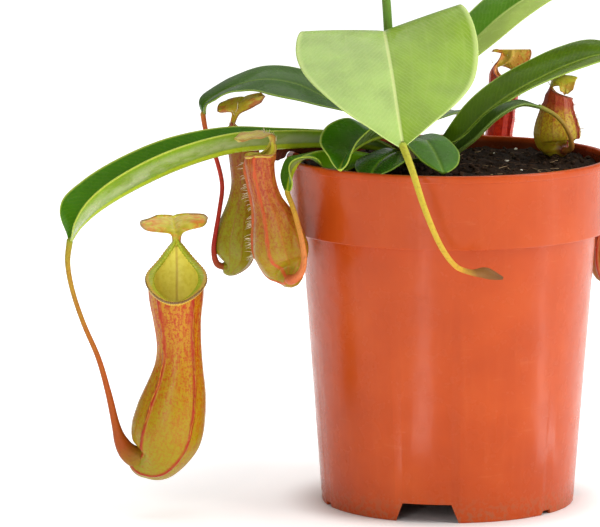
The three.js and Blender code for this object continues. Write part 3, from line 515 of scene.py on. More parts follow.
def foot_radius_inside(z):
    """Inner radius of the tapering body wall at a height."""
    return FOOT_RADIUS - WALL + (BODY_TOP_RADIUS - FOOT_RADIUS) * z / BAND_BOTTOM


def filleted(corners):
    """Closed outline through corners given as radius, height and fillet, with the corners rounded."""
    outline = []
    for index, (radius, height, fillet) in enumerate(corners):
        corner = Vector((radius, height))
        if fillet == 0:
            outline.append(corner)
            continue
        before = Vector(corners[index - 1][:2])
        after = Vector(corners[(index + 1) % len(corners)][:2])
        start = corner + (before - corner).normalized() * fillet
        end = corner + (after - corner).normalized() * fillet
        for step in range(FILLET_STEPS + 1):
            share = step / FILLET_STEPS
            outline.append(start.lerp(corner, share).lerp(corner.lerp(end, share), share))
    return outline


def pot_outline():
    """The pot's half section, from the foot up the outside and down the inside."""
    band_radius = RIM_RADIUS - LIP_STANDOUT
    band_foot = band_radius - BAND_TAPER
    base_top = BASE_LIFT + BASE_THICKNESS
    lip = POT_HEIGHT - LIP_HEIGHT
    return filleted([
        (FOOT_RADIUS - WALL - FOOT_RING_EXTRA, 0, 0.3),
        (FOOT_RADIUS, 0, 0.5),
        (BODY_TOP_RADIUS, BAND_BOTTOM, 0.7),
        (band_foot, BAND_BOTTOM, 0.6),
        (band_radius, lip, 0.25),
        (RIM_RADIUS, lip, 0.25),
        (RIM_RADIUS, POT_HEIGHT, 0.8),
        (RIM_RADIUS - RIM_THICKNESS, POT_HEIGHT, 0.6),
        (band_foot - WALL, BAND_BOTTOM + 2, 1),
        (BODY_TOP_RADIUS - WALL, BAND_BOTTOM + WALL, 0.8),
        (foot_radius_inside(base_top), base_top, 1.5),
        (0, base_top, 0),
        (0, BASE_LIFT, 0),
        (foot_radius_inside(BASE_LIFT), BASE_LIFT, 0.8),
    ])


def shell_object(name, shell):
    """Mesh object of a bmesh, which is freed."""
    bmesh.ops.recalc_face_normals(shell, faces=shell.faces)
    mesh = bpy.data.meshes.new(name)
    shell.to_mesh(mesh)
    shell.free()
    made = bpy.data.objects.new(name, mesh)
    bpy.context.scene.collection.objects.link(made)
    return made


def turned(name, outline):
    """Closed mesh object of an outline turned about the Z axis, in metres about the origin."""
    shell = bmesh.new()
    rings = []
    for step in range(POT_SEGMENTS):
        angle = math.tau * step / POT_SEGMENTS
        turn = Vector((math.cos(angle), math.sin(angle)))
        rings.append([shell.verts.new((turn.x * r * MM, turn.y * r * MM, z * MM)) for r, z in outline])
    for step in range(POT_SEGMENTS):
        here, beside = rings[step], rings[(step + 1) % POT_SEGMENTS]
        for index in range(len(outline)):
            after = (index + 1) % len(outline)
            shell.faces.new((here[index], beside[index], beside[after], here[after]))
    bmesh.ops.remove_doubles(shell, verts=shell.verts, dist=1e-7)
    bmesh.ops.dissolve_degenerate(shell, edges=shell.edges, dist=1e-7)
    return shell_object(name, shell)


def prism(shell, corners, low, high, place):
    """Adds a closed prism to a bmesh: corners run round, and place puts (x, y, z) where it belongs."""
    lower = [shell.verts.new(place(x, y, low)) for x, y in corners]
    upper = [shell.verts.new(place(x, y, high)) for x, y in corners]
    shell.faces.new(lower[::-1])
    shell.faces.new(upper)
    for index in range(len(corners)):
        after = (index + 1) % len(corners)
        shell.faces.new((lower[index], lower[after], upper[after], upper[index]))


def pot_cutter():
    """All the notches and drain holes as one object to be taken out of the shell."""
    shell = bmesh.new()
    for notch in (LARGE_NOTCH, SMALL_NOTCH):
        half_top, half_bottom, top = notch["top"] / 2, notch["bottom"] / 2, notch["height"]
        corners = [(-half_bottom, -1), (half_bottom, -1), (half_top, top), (-half_top, top)]
        for copy in range(notch["count"]):
            out = heading(notch["azimuth"] + 360 * copy / notch["count"])
            across = np.cross(UP, out)

            def place(x, z, depth):
                return Vector((out * (FOOT_RADIUS + depth) + across * x + UP * z) * MM)

            prism(shell, corners, -NOTCH_REACH, NOTCH_REACH, place)
    radius, segments = DRAIN_HOLE["radius"], DRAIN_HOLE["segments"]
    turns = [math.tau * step / segments for step in range(segments)]
    circle = [(math.cos(turn) * radius, math.sin(turn) * radius) for turn in turns]
    for copy in range(DRAIN_HOLE["count"]):
        middle = heading(360 * copy / DRAIN_HOLE["count"]) * DRAIN_HOLE["ring"]
        prism(shell, circle, 0, BASE_LIFT * 2, lambda x, y, z: Vector((middle + (x, y, z)) * MM))
    return shell_object("pot_cutter", shell)


def on_inner_wall(place):
    """Whether a point of the shell, in metres, lies on the inner half of its wall."""
    radius = math.hypot(place.x - POT_AXIS[0], place.y - POT_AXIS[1]) / MM
    height = place.z / MM
    if height > BAND_BOTTOM:
        return radius < RIM_RADIUS - LIP_STANDOUT - BAND_TAPER - WALL / 2
    return radius < foot_radius_inside(height) + WALL / 2


def pot():
    shell = turned("pot_shell", pot_outline())
    cutter = pot_cutter()
    cut = shell.modifiers.new("notches", "BOOLEAN")
    cut.object = cutter
    cut.solver = "EXACT"
    soften = shell.modifiers.new("soften", "BEVEL")
    soften.width = SOFT_EDGE * MM
    soften.segments = 2
    soften.limit_method = "ANGLE"
    soften.angle_limit = math.radians(SOFT_EDGE_ANGLE)
    bpy.context.view_layer.update()
    seen = shell.evaluated_get(bpy.context.evaluated_depsgraph_get())
    finished = bpy.data.meshes.new_from_object(seen)
    shell.modifiers.clear()
    shell.data = finished
    bpy.data.objects.remove(cutter)
    finished.transform(Matrix.Translation(POT_AXIS))
    finished.shade_smooth()
    finished.set_sharp_from_angle(angle=math.radians(SHARP_ANGLE))
    add_marks(finished, {"inside": [on_inner_wall(vertex.co) for vertex in finished.vertices]})
    settle(shell, pot_plastic(), ["pot"])


# Soil: a lumpy bed, with loose crumbs, fibres and a few pale grains on it

SOIL_LEVEL = 124.2
SOIL_EDGE = 56.8
SOIL_FLOOR = 8.9
SOIL_FOOT_RADIUS = 44.6
SOIL_SHOULDER_RADIUS = 52.4
SOIL_SHOULDER_GAP = 1.6
SOIL_RINGS = 120
SOIL_SIDES = 300
SOIL_ROUGHNESS = 0.7
SOIL_WAVES = {
    "coarse_x": 0.21, "coarse_y": 0.27, "shift": 1.3, "fine_share": 0.6, "fine_x": 0.53, "fine_y": 0.47,
}
SOIL_LUMPS = {"height": 0.9, "pitch": 0.22, "fade": 0.6, "octaves": 4}
SOIL_CLODS = {"height": 0.7, "pitch": 0.3}
SOIL_MOUND = {"x": 43, "y": 26, "height": 1.6, "spread": 15}
CRUMBS = {"seed": 11, "count": 900, "least": 0.35, "spread": 1.1, "rarity": 2.2}
GRAINS = {"seed": 23, "count": 14, "sizes": (0.5, 1.1)}
FIBRE_SEED = 5
FIBRE_LENGTHS = (2, 8)
FIBRE_RADII = (0.09, 0.22)
FIBRES = {
    "dark": {"count": 150, "tones": ((58, 38, 24), (92, 64, 42))},
    "pale": {"count": 46, "tones": ((132, 104, 74), (178, 150, 112))},
}


def soil_height(x, y):
    """Height of the soil's top, with broad waves as in the solid and finer lumps of its own."""
    wave = SOIL_WAVES
    coarse = math.sin(x * wave["coarse_x"] + wave["shift"]) * math.cos(y * wave["coarse_y"])
    fine = wave["fine_share"] * math.sin(x * wave["fine_x"] - y * wave["fine_y"])
    broad = SOIL_ROUGHNESS * (coarse + fine)
    away = math.hypot(x - SOIL_MOUND["x"], y - SOIL_MOUND["y"]) / SOIL_MOUND["spread"]
    mound = SOIL_MOUND["height"] * math.exp(-away * away)
    lump_place = Vector((x * SOIL_LUMPS["pitch"], y * SOIL_LUMPS["pitch"], 3.0))
    lumps = SOIL_LUMPS["height"] * noise.fractal(lump_place, SOIL_LUMPS["fade"], 2.0, SOIL_LUMPS["octaves"])
    clod_place = Vector((x * SOIL_CLODS["pitch"], y * SOIL_CLODS["pitch"], 7.0))
    clods = SOIL_CLODS["height"] * (0.5 - noise.voronoi(clod_place)[0][0])
    return SOIL_LEVEL + broad + mound + lumps + clods


def soil_bed():
    turns = np.arange(SOIL_SIDES) * math.tau / SOIL_SIDES
    below = (
        (SOIL_FOOT_RADIUS, SOIL_FLOOR),
        (SOIL_SHOULDER_RADIUS, BAND_BOTTOM + SOIL_SHOULDER_GAP),
        (SOIL_EDGE, BAND_BOTTOM + SOIL_SHOULDER_GAP + 1),
    )
    points = [(radius * math.cos(turn), radius * math.sin(turn), z) for radius, z in below for turn in turns]
    for radius in np.linspace(SOIL_EDGE, 0.3, SOIL_RINGS):
        for turn in turns:
            x, y = radius * math.cos(turn), radius * math.sin(turn)
            points.append((x, y, soil_height(x, y)))
    faces = closed_skin(SOIL_RINGS + len(below), SOIL_SIDES)
    add_piece("peat_bed", points, faces, peat("peat", (20, 11, 6), (44, 29, 18)), ["soil"], "peat")


def soil_place(rng, edge=SOIL_EDGE - 1.5):
    """Random place on the soil's top."""
    radius = edge * math.sqrt(rng.random())
    turn = rng.random() * math.tau
    x, y = radius * math.cos(turn), radius * math.sin(turn)
    return np.array([x, y, soil_height(x, y)])


def lump(rng, middle, size, detail=1):
    """One irregular crumb."""
    ball = bmesh.new()
    bmesh.ops.create_icosphere(ball, subdivisions=detail, radius=1.0)
    stretch = np.array([rng.uniform(0.6, 1.2), rng.uniform(0.6, 1.2), rng.uniform(0.45, 0.9)])
    seed = Vector((rng.random() * 50, rng.random() * 50, rng.random() * 50))
    points = []
    for vert in ball.verts:
        swell = 1 + 0.45 * noise.noise(vert.co * 1.6 + seed)
        points.append(middle + np.array(vert.co) * stretch * swell * size)
    faces = [[vert.index for vert in face.verts] for face in ball.faces]
    ball.free()
    return np.array(points), faces


def crumbs():
    rng = random.Random(CRUMBS["seed"])
    parts = []
    for _ in range(CRUMBS["count"]):
        size = CRUMBS["least"] + CRUMBS["spread"] * rng.random() ** CRUMBS["rarity"]
        parts.append(lump(rng, soil_place(rng) + UP * size * 0.3, size))
    add_piece("peat_crumbs", *joined(parts), peat("peat_crumb", (28, 17, 10), (62, 42, 27)), (), "peat")


def strand(rng, start, length, radius):
    """A thin bent thread that starts at a place and lies about level."""
    turn = rng.random() * math.tau
    rows = []
    place = np.array(start, float)
    for step in range(5):
        rows.append([*place, radius * (1 - 0.15 * step)])
        turn += rng.uniform(-0.7, 0.7)
        rise = rng.uniform(-0.3, 0.35) * 0.5
        place = place + np.array([math.cos(turn), math.sin(turn), rise]) * length / 4
    return tube(rows, 8, 5)[:2]


def fibres():
    rng = random.Random(FIBRE_SEED)
    for name, fibre in FIBRES.items():
        parts = []
        for _ in range(fibre["count"]):
            start = soil_place(rng, SOIL_EDGE - 7) + UP * 0.4
            parts.append(strand(rng, start, rng.uniform(*FIBRE_LENGTHS), rng.uniform(*FIBRE_RADII)))
        skin = speckled(f"fibre_{name}", fibre["tones"], 900, 0.8)
        add_piece(f"peat_fibres_{name}", *joined(parts), skin, (), "peat")


def grains():
    rng = random.Random(GRAINS["seed"])
    sizes = GRAINS["sizes"]
    parts = [lump(rng, soil_place(rng) + UP * 0.3, rng.uniform(*sizes), 2) for _ in range(GRAINS["count"])]
    skin = speckled("perlite", ((214, 206, 190), (240, 236, 226)), 500, 0.8)
    add_piece("perlite_grains", *joined(parts), skin, (), "peat")


def soil():
    soil_bed()
    crumbs()
    fibres()
    grains()


# Stem: the short stout stem and the rolled youngest leaf above it. A row is x, y, z and radius.

STEM = [
    [-13, 5, 97, 3.2], [-14, 5, 112, 3.3], [-15.5, 5.5, 124, 3.4], [-17.5, 6.5, 136, 3.2],
    [-20, 7.5, 148, 2.6], [-21.6, 8, 160, 1.9], [-22.4, 8, 174, 1.7], [-23.4, 8, 188, 1.6],
    [-25, 7.5, 202, 1.3], [-27.4, 6, 213, 0.8], [-30.2, 4, 218, 0.5],
]
STEM_SIDES = 36
STEM_STEPS = 240
STEM_SEAM = {"turns": 2.2, "width": 0.035, "depth": 0.16}
STEM_SCARS = {"count": 150, "height": 0.05}
STEM_TONES = [
    (0.0, (92, 74, 40)), (0.3, (110, 96, 46)), (0.45, (104, 140, 50)), (0.9, (112, 156, 58)),
    (1.0, (148, 110, 52)),
]


def stem():
    points, faces, along = tube(STEM, STEM_STEPS, STEM_SIDES)
    centres = sample_rows(STEM, np.linspace(0, 1, STEM_STEPS + 1))[:, :3].repeat(STEM_SIDES, 0)
    angle = np.tile(np.arange(STEM_SIDES) / STEM_SIDES, STEM_STEPS + 1)
    off_seam = (angle - along * STEM_SEAM["turns"]) % 1.0 - 0.5
    seam = np.exp(-(off_seam / STEM_SEAM["width"]) ** 2) * smooth(along, 0.45, 0.6)
    scars = STEM_SCARS["height"] * np.sin(along * STEM_SCARS["count"]) * smooth(along, 0.5, 0.3)
    points = centres + (points - centres) * (1 - STEM_SEAM["depth"] * seam + scars)[:, None]
    add_piece("stem_spear", points, faces, tendril_skin("stem_bark", STEM_TONES), ["stem"], "stem_green",
              {"along": along})


# Leaves: blades with a groove over the midrib, a keel under it and a thin margin.
# A row is the midrib's place, the half width, the roll, and the slope of each half at the midrib and
# at the margin, in degrees. A wave is the margin's height, count and phase.

BLADE_THICKNESS = 0.8
MARGIN_THICKNESS = 0.5
MARGIN_ROUNDING = 0.22
KEEL_HEIGHT = 0.55
KEEL_HALF_WIDTH = 0.8
GROOVE_DEPTH = 0.2
LEAST_HALF_WIDTH = 0.4

LEAVES = {
    "a": {
        "heading": 190, "steps": 160, "columns": 28, "wave": (0.3, 2, 1),
        "rows": [
            [-20.2, 5, 129.5, 2.4, 0, 30, 40], [-32, 1, 132, 5.5, 0, 45, 50],
            [-47, -5, 133.2, 7, 0, 48, 54], [-63, -11, 133.4, 8.6, 0, 48, 54],
            [-80, -17, 132.6, 10.4, 2, 46, 54], [-98, -22, 127.7, 12.2, 6, 45, 56],
            [-114, -25.5, 120.8, 13.2, 9, 43, 55], [-127, -28, 113.4, 13.2, 12, 40, 53],
            [-134.8, -29.4, 106.8, 11.2, 16, 34, 48], [-138.7, -30, 101.4, 1.4, 0, 10, 16],
        ],
    },
    "b": {
        "heading": 165, "steps": 140, "columns": 28, "wave": (0.3, 2, 0),
        "rows": [
            [-21.6, 8.2, 137.5, 2.4, 0, 25, 30], [-32, 11, 142, 6, 8, 20, 15],
            [-44, 14, 147.5, 9.5, 16, 14, 5], [-56, 16.5, 153, 11.5, 20, 10, -5],
            [-68, 17, 154.8, 11.5, 20, 10, -10], [-79, 15.5, 152.6, 10, 16, 12, -8],
            [-87, 13.5, 148.8, 7.8, 18, 15, 0], [-90.2, 12, 146.2, 4.8, 30, 12, 5],
            [-90.7, 10.8, 142.8, 1.5, 25, 10, 10],
        ],
    },
    "c": {
        "heading": 235, "steps": 110, "columns": 22, "wave": (0.3, 2, 0),
        "rows": [
            [-18.2, 1.9, 126, 2.2, 0, 20, 20], [-27.5, -5, 129.6, 5, 4, -5, -10],
            [-37, -12.8, 132.2, 7.8, 14, -20, -32], [-44.5, -19.4, 133.2, 9.4, 20, -30, -40],
            [-50.4, -25.4, 133, 8.6, 16, -28, -36], [-54.8, -29.6, 131.4, 7.4, -14, 4, 2],
            [-58, -33, 126.8, 6, -42, 32, 28], [-59.4, -35.6, 120.6, 1.3, 0, 10, 10],
        ],
    },
    "d": {
        "heading": 275, "steps": 150, "columns": 44, "wave": (0.6, 1.5, 1.2),
        "rows": [
            [-18.3, 2.2, 146, 2.6, 0, 30, 40], [-21.5, 1.5, 158, 12, -4, 25, 30],
            [-24, 1, 168.6, 22, -6, 16, 0], [-24.3, -7, 175.4, 30, -8, 11, 8],
            [-23.4, -22, 171.5, 33, -4, 2, -4], [-21.8, -37, 162.5, 30, 0, 2, -8],
            [-20.3, -50, 152.5, 21, 0, 5, 0], [-19, -58.5, 144.5, 9, 0, 10, 5],
            [-18.3, -62, 140.3, 1.5, 0, 10, 10],
        ],
    },
    "e": {
        "heading": 25, "steps": 150, "columns": 26, "wave": (0.3, 2, 0),
        "rows": [
            [-15.1, 8.6, 141, 2.4, 0, 30, 30], [-7, 13, 150, 6, -10, 30, 25],
            [2, 18, 160.5, 8.6, -20, 25, 15], [12, 23, 170.6, 10, -25, 20, 10],
            [23, 28, 179.6, 10.6, -25, 20, 5], [36, 33, 186.6, 10.4, -20, 20, 0],
            [50, 38, 189, 9, -10, 20, 5], [63, 42, 186, 5.5, 0, 20, 10], [71, 44, 181, 1.4, 0, 10, 10],
        ],
    },
    "f": {
        "heading": 25, "steps": 170, "columns": 28, "wave": (0.3, 2, 2),
        "rows": [
            [-12.6, 6, 130.2, 2.2, 0, 30, 30], [-4, 5.4, 130.4, 4, -5, 35, 40],
            [4, 5.4, 134, 6.2, -15, 38, 40], [13, 10, 142.4, 7.6, -20, 36, 32],
            [23, 15.5, 149.2, 8.4, -22, 34, 25], [34, 21, 154.6, 9, -22, 32, 18],
            [46, 26.5, 159.4, 9.6, -20, 30, 10], [58, 31.5, 162.2, 9.4, -16, 28, 5],
            [69, 35, 159.6, 8, -10, 25, 0], [77, 36.4, 153.2, 5, 0, 20, 0],
            [80, 36.5, 146.5, 1.4, 0, 10, 10],
        ],
    },
    "g": {
        "heading": 5, "steps": 110, "columns": 18, "wave": (0.2, 2, 0),
        "rows": [
            [-12.5, 4.2, 126.4, 1.8, 0, 20, 20], [-2, -1.5, 127.6, 3.2, -10, 30, 30],
            [8, -4.5, 134.4, 4, -15, 30, 30], [17, -4.5, 143, 4.2, -15, 28, 20],
            [26, -1.5, 147.8, 3.6, -10, 25, 10], [33.5, 2.5, 146.6, 1.1, 0, 10, 10],
        ],
    },
    "h": {
        "heading": 235, "steps": 110, "columns": 26, "wave": (0.5, 2, 0),
        "rows": [
            [-19.4, 3.2, 134.2, 2.2, 0, 25, 30], [-24, -6, 136.6, 6.4, -4, 30, 25],
            [-28.7, -15, 136.6, 12, 0, 44, 38], [-33.7, -25, 135.4, 13.4, -2, 44, 36],
            [-37.3, -35, 133.9, 11.4, -10, 40, 30], [-39.2, -43, 132.2, 5.8, -12, 42, 32],
            [-40.6, -47.5, 130, 1, 0, 10, 10],
        ],
    },
    "i": {
        "heading": 250, "steps": 100, "columns": 22, "wave": (0.3, 2, 0),
        "rows": [
            [-17, 2.3, 129.4, 2, 0, 20, 20], [-19.8, -10, 131, 5, 0, 15, 10],
            [-22.8, -20, 131.2, 7.8, 0, 10, -5], [-26, -31, 130.4, 8.8, 0, 8, -10],
            [-28.4, -41, 128.8, 6.4, 0, 8, -5], [-29.4, -47.6, 127.3, 1.4, 0, 5, 5],
        ],
    },
    "j": {
        "heading": 305, "steps": 100, "columns": 22, "wave": (0.4, 2, 0),
        "rows": [
            [-14.6, 3.3, 133.5, 2, 0, 20, 20], [-10.6, -6, 135.4, 5.6, 0, 15, 15],
            [-8.4, -15, 135.6, 8.6, 0, 10, 0], [-6.4, -24, 133.4, 9.4, 0, 8, -5],
            [-4.6, -33, 130.4, 7, 0, 8, 0], [-3.4, -40, 127.9, 1.6, 0, 5, 5],
        ],
    },
    "k": {
        "heading": 70, "steps": 110, "columns": 20, "wave": (0.3, 2, 0),
        "rows": [
            [-14.7, 9.3, 134, 2.2, 0, 25, 25], [-11, 18, 136.6, 5, 0, 25, 20], [-6, 29, 139, 6.8, 0, 20, 5],
            [0, 41, 139.6, 7, 0, 15, 0], [6, 53, 138, 6, 0, 15, 0], [11, 62, 134.5, 4, 0, 15, 5],
            [13.5, 66.5, 131, 1.3, 0, 10, 10],
        ],
    },
    "l": {
        "heading": 185, "steps": 120, "columns": 20, "wave": (0.3, 3, 1),
        "rows": [
            [-20.2, 8.6, 126.8, 1.8, 0, -10, -20], [-31, 8.4, 128.4, 2.6, 0, -30, -40],
            [-43, 6, 131, 4.4, 0, -55, -70], [-50, 4, 132.4, 5.2, 0, -62, -78],
            [-59, 2.4, 133.2, 3.2, 0, -55, -75], [-63.4, 1.6, 132, 5, 0, -64, -84],
            [-66.8, 1.2, 129.6, 4.4, 0, -64, -84], [-69, 1, 126, 0.8, 0, -10, -10],
        ],
    },
}


def blade(rows, side_hint, steps, columns, wave):
    """Points, faces and marks of a closed blade, its section running over the top and back below."""
    places = np.linspace(0, 1, steps + 1)
    row = sample_rows(rows, places)
    side, up = frames(rows, places, side_hint)
    turn = np.radians(row[:, 4])[:, None]
    right = side * np.cos(turn) + up * np.sin(turn)
    top = up * np.cos(turn) - side * np.sin(turn)
    half_width = np.maximum(row[:, 3], LEAST_HALF_WIDTH)[:, None]
    share = np.sin(np.linspace(0, 1, columns + 1) * np.pi / 2) * 0.4 + np.linspace(0, 1, columns + 1) * 0.6
    signed = np.concatenate([-share[::-1], share[1:]])[None, :]
    place = np.abs(signed)
    sign = np.sign(signed)
    rib_slope, margin_slope = (np.radians(row[:, column])[:, None] for column in (5, 6))
    slope = rib_slope + (margin_slope - rib_slope) * place
    mean = rib_slope + (margin_slope - rib_slope) * place / 2
    height, count, phase = wave
    ripple = height * place**2 * np.sin(math.tau * count * places[:, None] + phase * sign)
    off_rib = half_width * place
    centre = (
        row[:, None, :3]
        + right[:, None] * (sign * off_rib * np.cos(mean))[..., None]
        + top[:, None] * (off_rib * np.sin(mean) + ripple)[..., None]
    )
    lean = slope * smooth(place * half_width, 0.0, 0.8)
    normal = top[:, None] * np.cos(lean)[..., None] - right[:, None] * (sign * np.sin(lean))[..., None]
    half_thick = (BLADE_THICKNESS + (MARGIN_THICKNESS - BLADE_THICKNESS) * place**3) / 2
    crest = np.exp(-((off_rib / KEEL_HALF_WIDTH) ** 2))
    upper = centre + normal * (half_thick - GROOVE_DEPTH * crest)[..., None]
    lower = centre - normal * (half_thick + KEEL_HEIGHT * crest)[..., None]
    edge = unit(right)[:, None] * MARGIN_ROUNDING
    ring = np.concatenate([centre[:, :1] - edge, upper, centre[:, -1:] + edge, lower[:, ::-1]], axis=1)
    flat = signed[0]
    run = np.concatenate([[0], np.cumsum(np.linalg.norm(np.diff(row[:, :3], axis=0), axis=1))])
    marks = {
        "across": [*flat[:1], *flat, *flat[-1:], *flat[::-1]],
        "upper_face": [0.5, *np.ones_like(flat), 0.5, *np.zeros_like(flat)],
        "half_width": half_width,
        "along": run[:, None],
    }
    marks = {mark: np.broadcast_to(values, ring.shape[:2]) for mark, values in marks.items()}
    return ring, [face[::-1] for face in closed_skin(steps + 1, ring.shape[1])], marks


# Leaf tones. Left and right are the halves of the upper face as seen from the crown; where their tones
# differ, the lighter half is painted light and sheen on it. Painted sheen, groove and veins are shares: of
# the pale painted sheen below, which stands in for a reflection, of the rib's tone in the groove, and of it
# in the veins.

TONE_NAMES = ("left", "right", "under", "rib", "margin", "painted_sheen", "groove", "veins")

LEAF_TONES = {
    "a": ((84, 130, 18), (66, 118, 8), (120, 156, 22), (172, 194, 40), (186, 198, 80), 0.5, 0.2, 0.05),
    "b": ((54, 92, 4), (54, 90, 4), (120, 146, 44), (150, 176, 50), (140, 166, 60), 0.35, 0.2, 0.05),
    "c": ((100, 150, 10), (64, 112, 18), (96, 136, 34), (176, 198, 44), (176, 196, 70), 0.3, 0.9, 0.05),
    "d": ((132, 164, 44), (160, 188, 100), (150, 178, 74), (206, 218, 140), (196, 214, 130), 0.0, 0.85, 0.17),
    "e": ((78, 126, 20), (170, 194, 92), (130, 156, 66), (186, 204, 110), (170, 190, 90), 0.3, 0.8, 0.06),
    "f": ((74, 102, 12), (104, 130, 30), (128, 156, 50), (166, 188, 66), (156, 180, 74), 0.35, 0.5, 0.06),
    "g": ((50, 74, 18), (66, 90, 34), (90, 116, 50), (130, 154, 60), (120, 146, 64), 0.2, 0.4, 0.05),
    "h": ((50, 104, 6), (56, 112, 8), (96, 136, 40), (176, 196, 60), (178, 196, 84), 0.2, 0.5, 0.05),
    # Leaves i, j and k have a darker palette for the shade they lie in: painted shade.
    "i": ((36, 80, 10), (44, 92, 14), (80, 120, 36), (120, 156, 44), (120, 150, 50), 0.2, 0.6, 0.06),
    "j": ((66, 116, 14), (74, 124, 18), (90, 130, 40), (126, 160, 50), (150, 176, 66), 0.2, 0.5, 0.06),
    "k": ((60, 96, 18), (66, 104, 22), (116, 144, 50), (150, 176, 60), (140, 166, 64), 0.3, 0.3, 0.05),
    "l": ((84, 32, 18), (108, 44, 28), (70, 28, 18), (134, 66, 44), (56, 26, 16), 0.0, 0.6, 0.3),
}


def leaves():
    for letter, leaf in LEAVES.items():
        side_hint = np.cross(heading(leaf["heading"]), UP)
        points, faces, marks = blade(leaf["rows"], side_hint, leaf["steps"], leaf["columns"], leaf["wave"])
        slot = "leaf_l_dry" if letter == "l" else f"leaf_{letter}_green"
        skin = leaf_skin(f"leaf_{letter}_skin", dict(zip(TONE_NAMES, LEAF_TONES[letter])))
        add_piece(f"leaf_{letter}_blade", points, faces, skin, [f"leaf_{letter}"], slot, marks)


# Pitchers. A cup row is the centre of a ring and its radius, from the neck behind the mouth down to
# the tail. The mouth faces an azimuth and slopes from the neck to a front point. A tendril row is x, y,
# z and radius, and a lid row is like a leaf's. Heights are the wall's tones from the rim down.

CUP_WALL = 0.8
LID_SEAT = 0.04
LID_ROOT_HALF_WIDTH = 1.4
LID_STEPS = 80
LID_COLUMNS = 26
LID_WAVE = (0.25, 3, 1)
WING_ANGLE = 39
WING_END = 0.9
WING_STEPS = 90
WING_FOOT = 0.3
WING_CREST = 0.12
WING_RIDGE = 0.5
RIB_RIDGE = 0.14
RIDGE_WIDTH = 0.55
HAIR_LENGTHS = (1.2, 2.8)
HAIR_RADIUS = 0.11
TUFT_LENGTHS = (2.0, 4.0)
TUFT_RADIUS = 0.17
RIB_ANGLES = (WING_ANGLE, 74, 108, 142, 176)
CAVITY_FLOOR = 0.8
CUP_SIDES = 120
CUP_STEPS = 112
LINING_STEPS = 44
RIM_SIDES = 504
RIM_SECTION = 14
RIM_RIBS = 84
RIM_SHIFT = -0.1
TENDRIL_SIDES = 14
TENDRIL_STEPS = 150

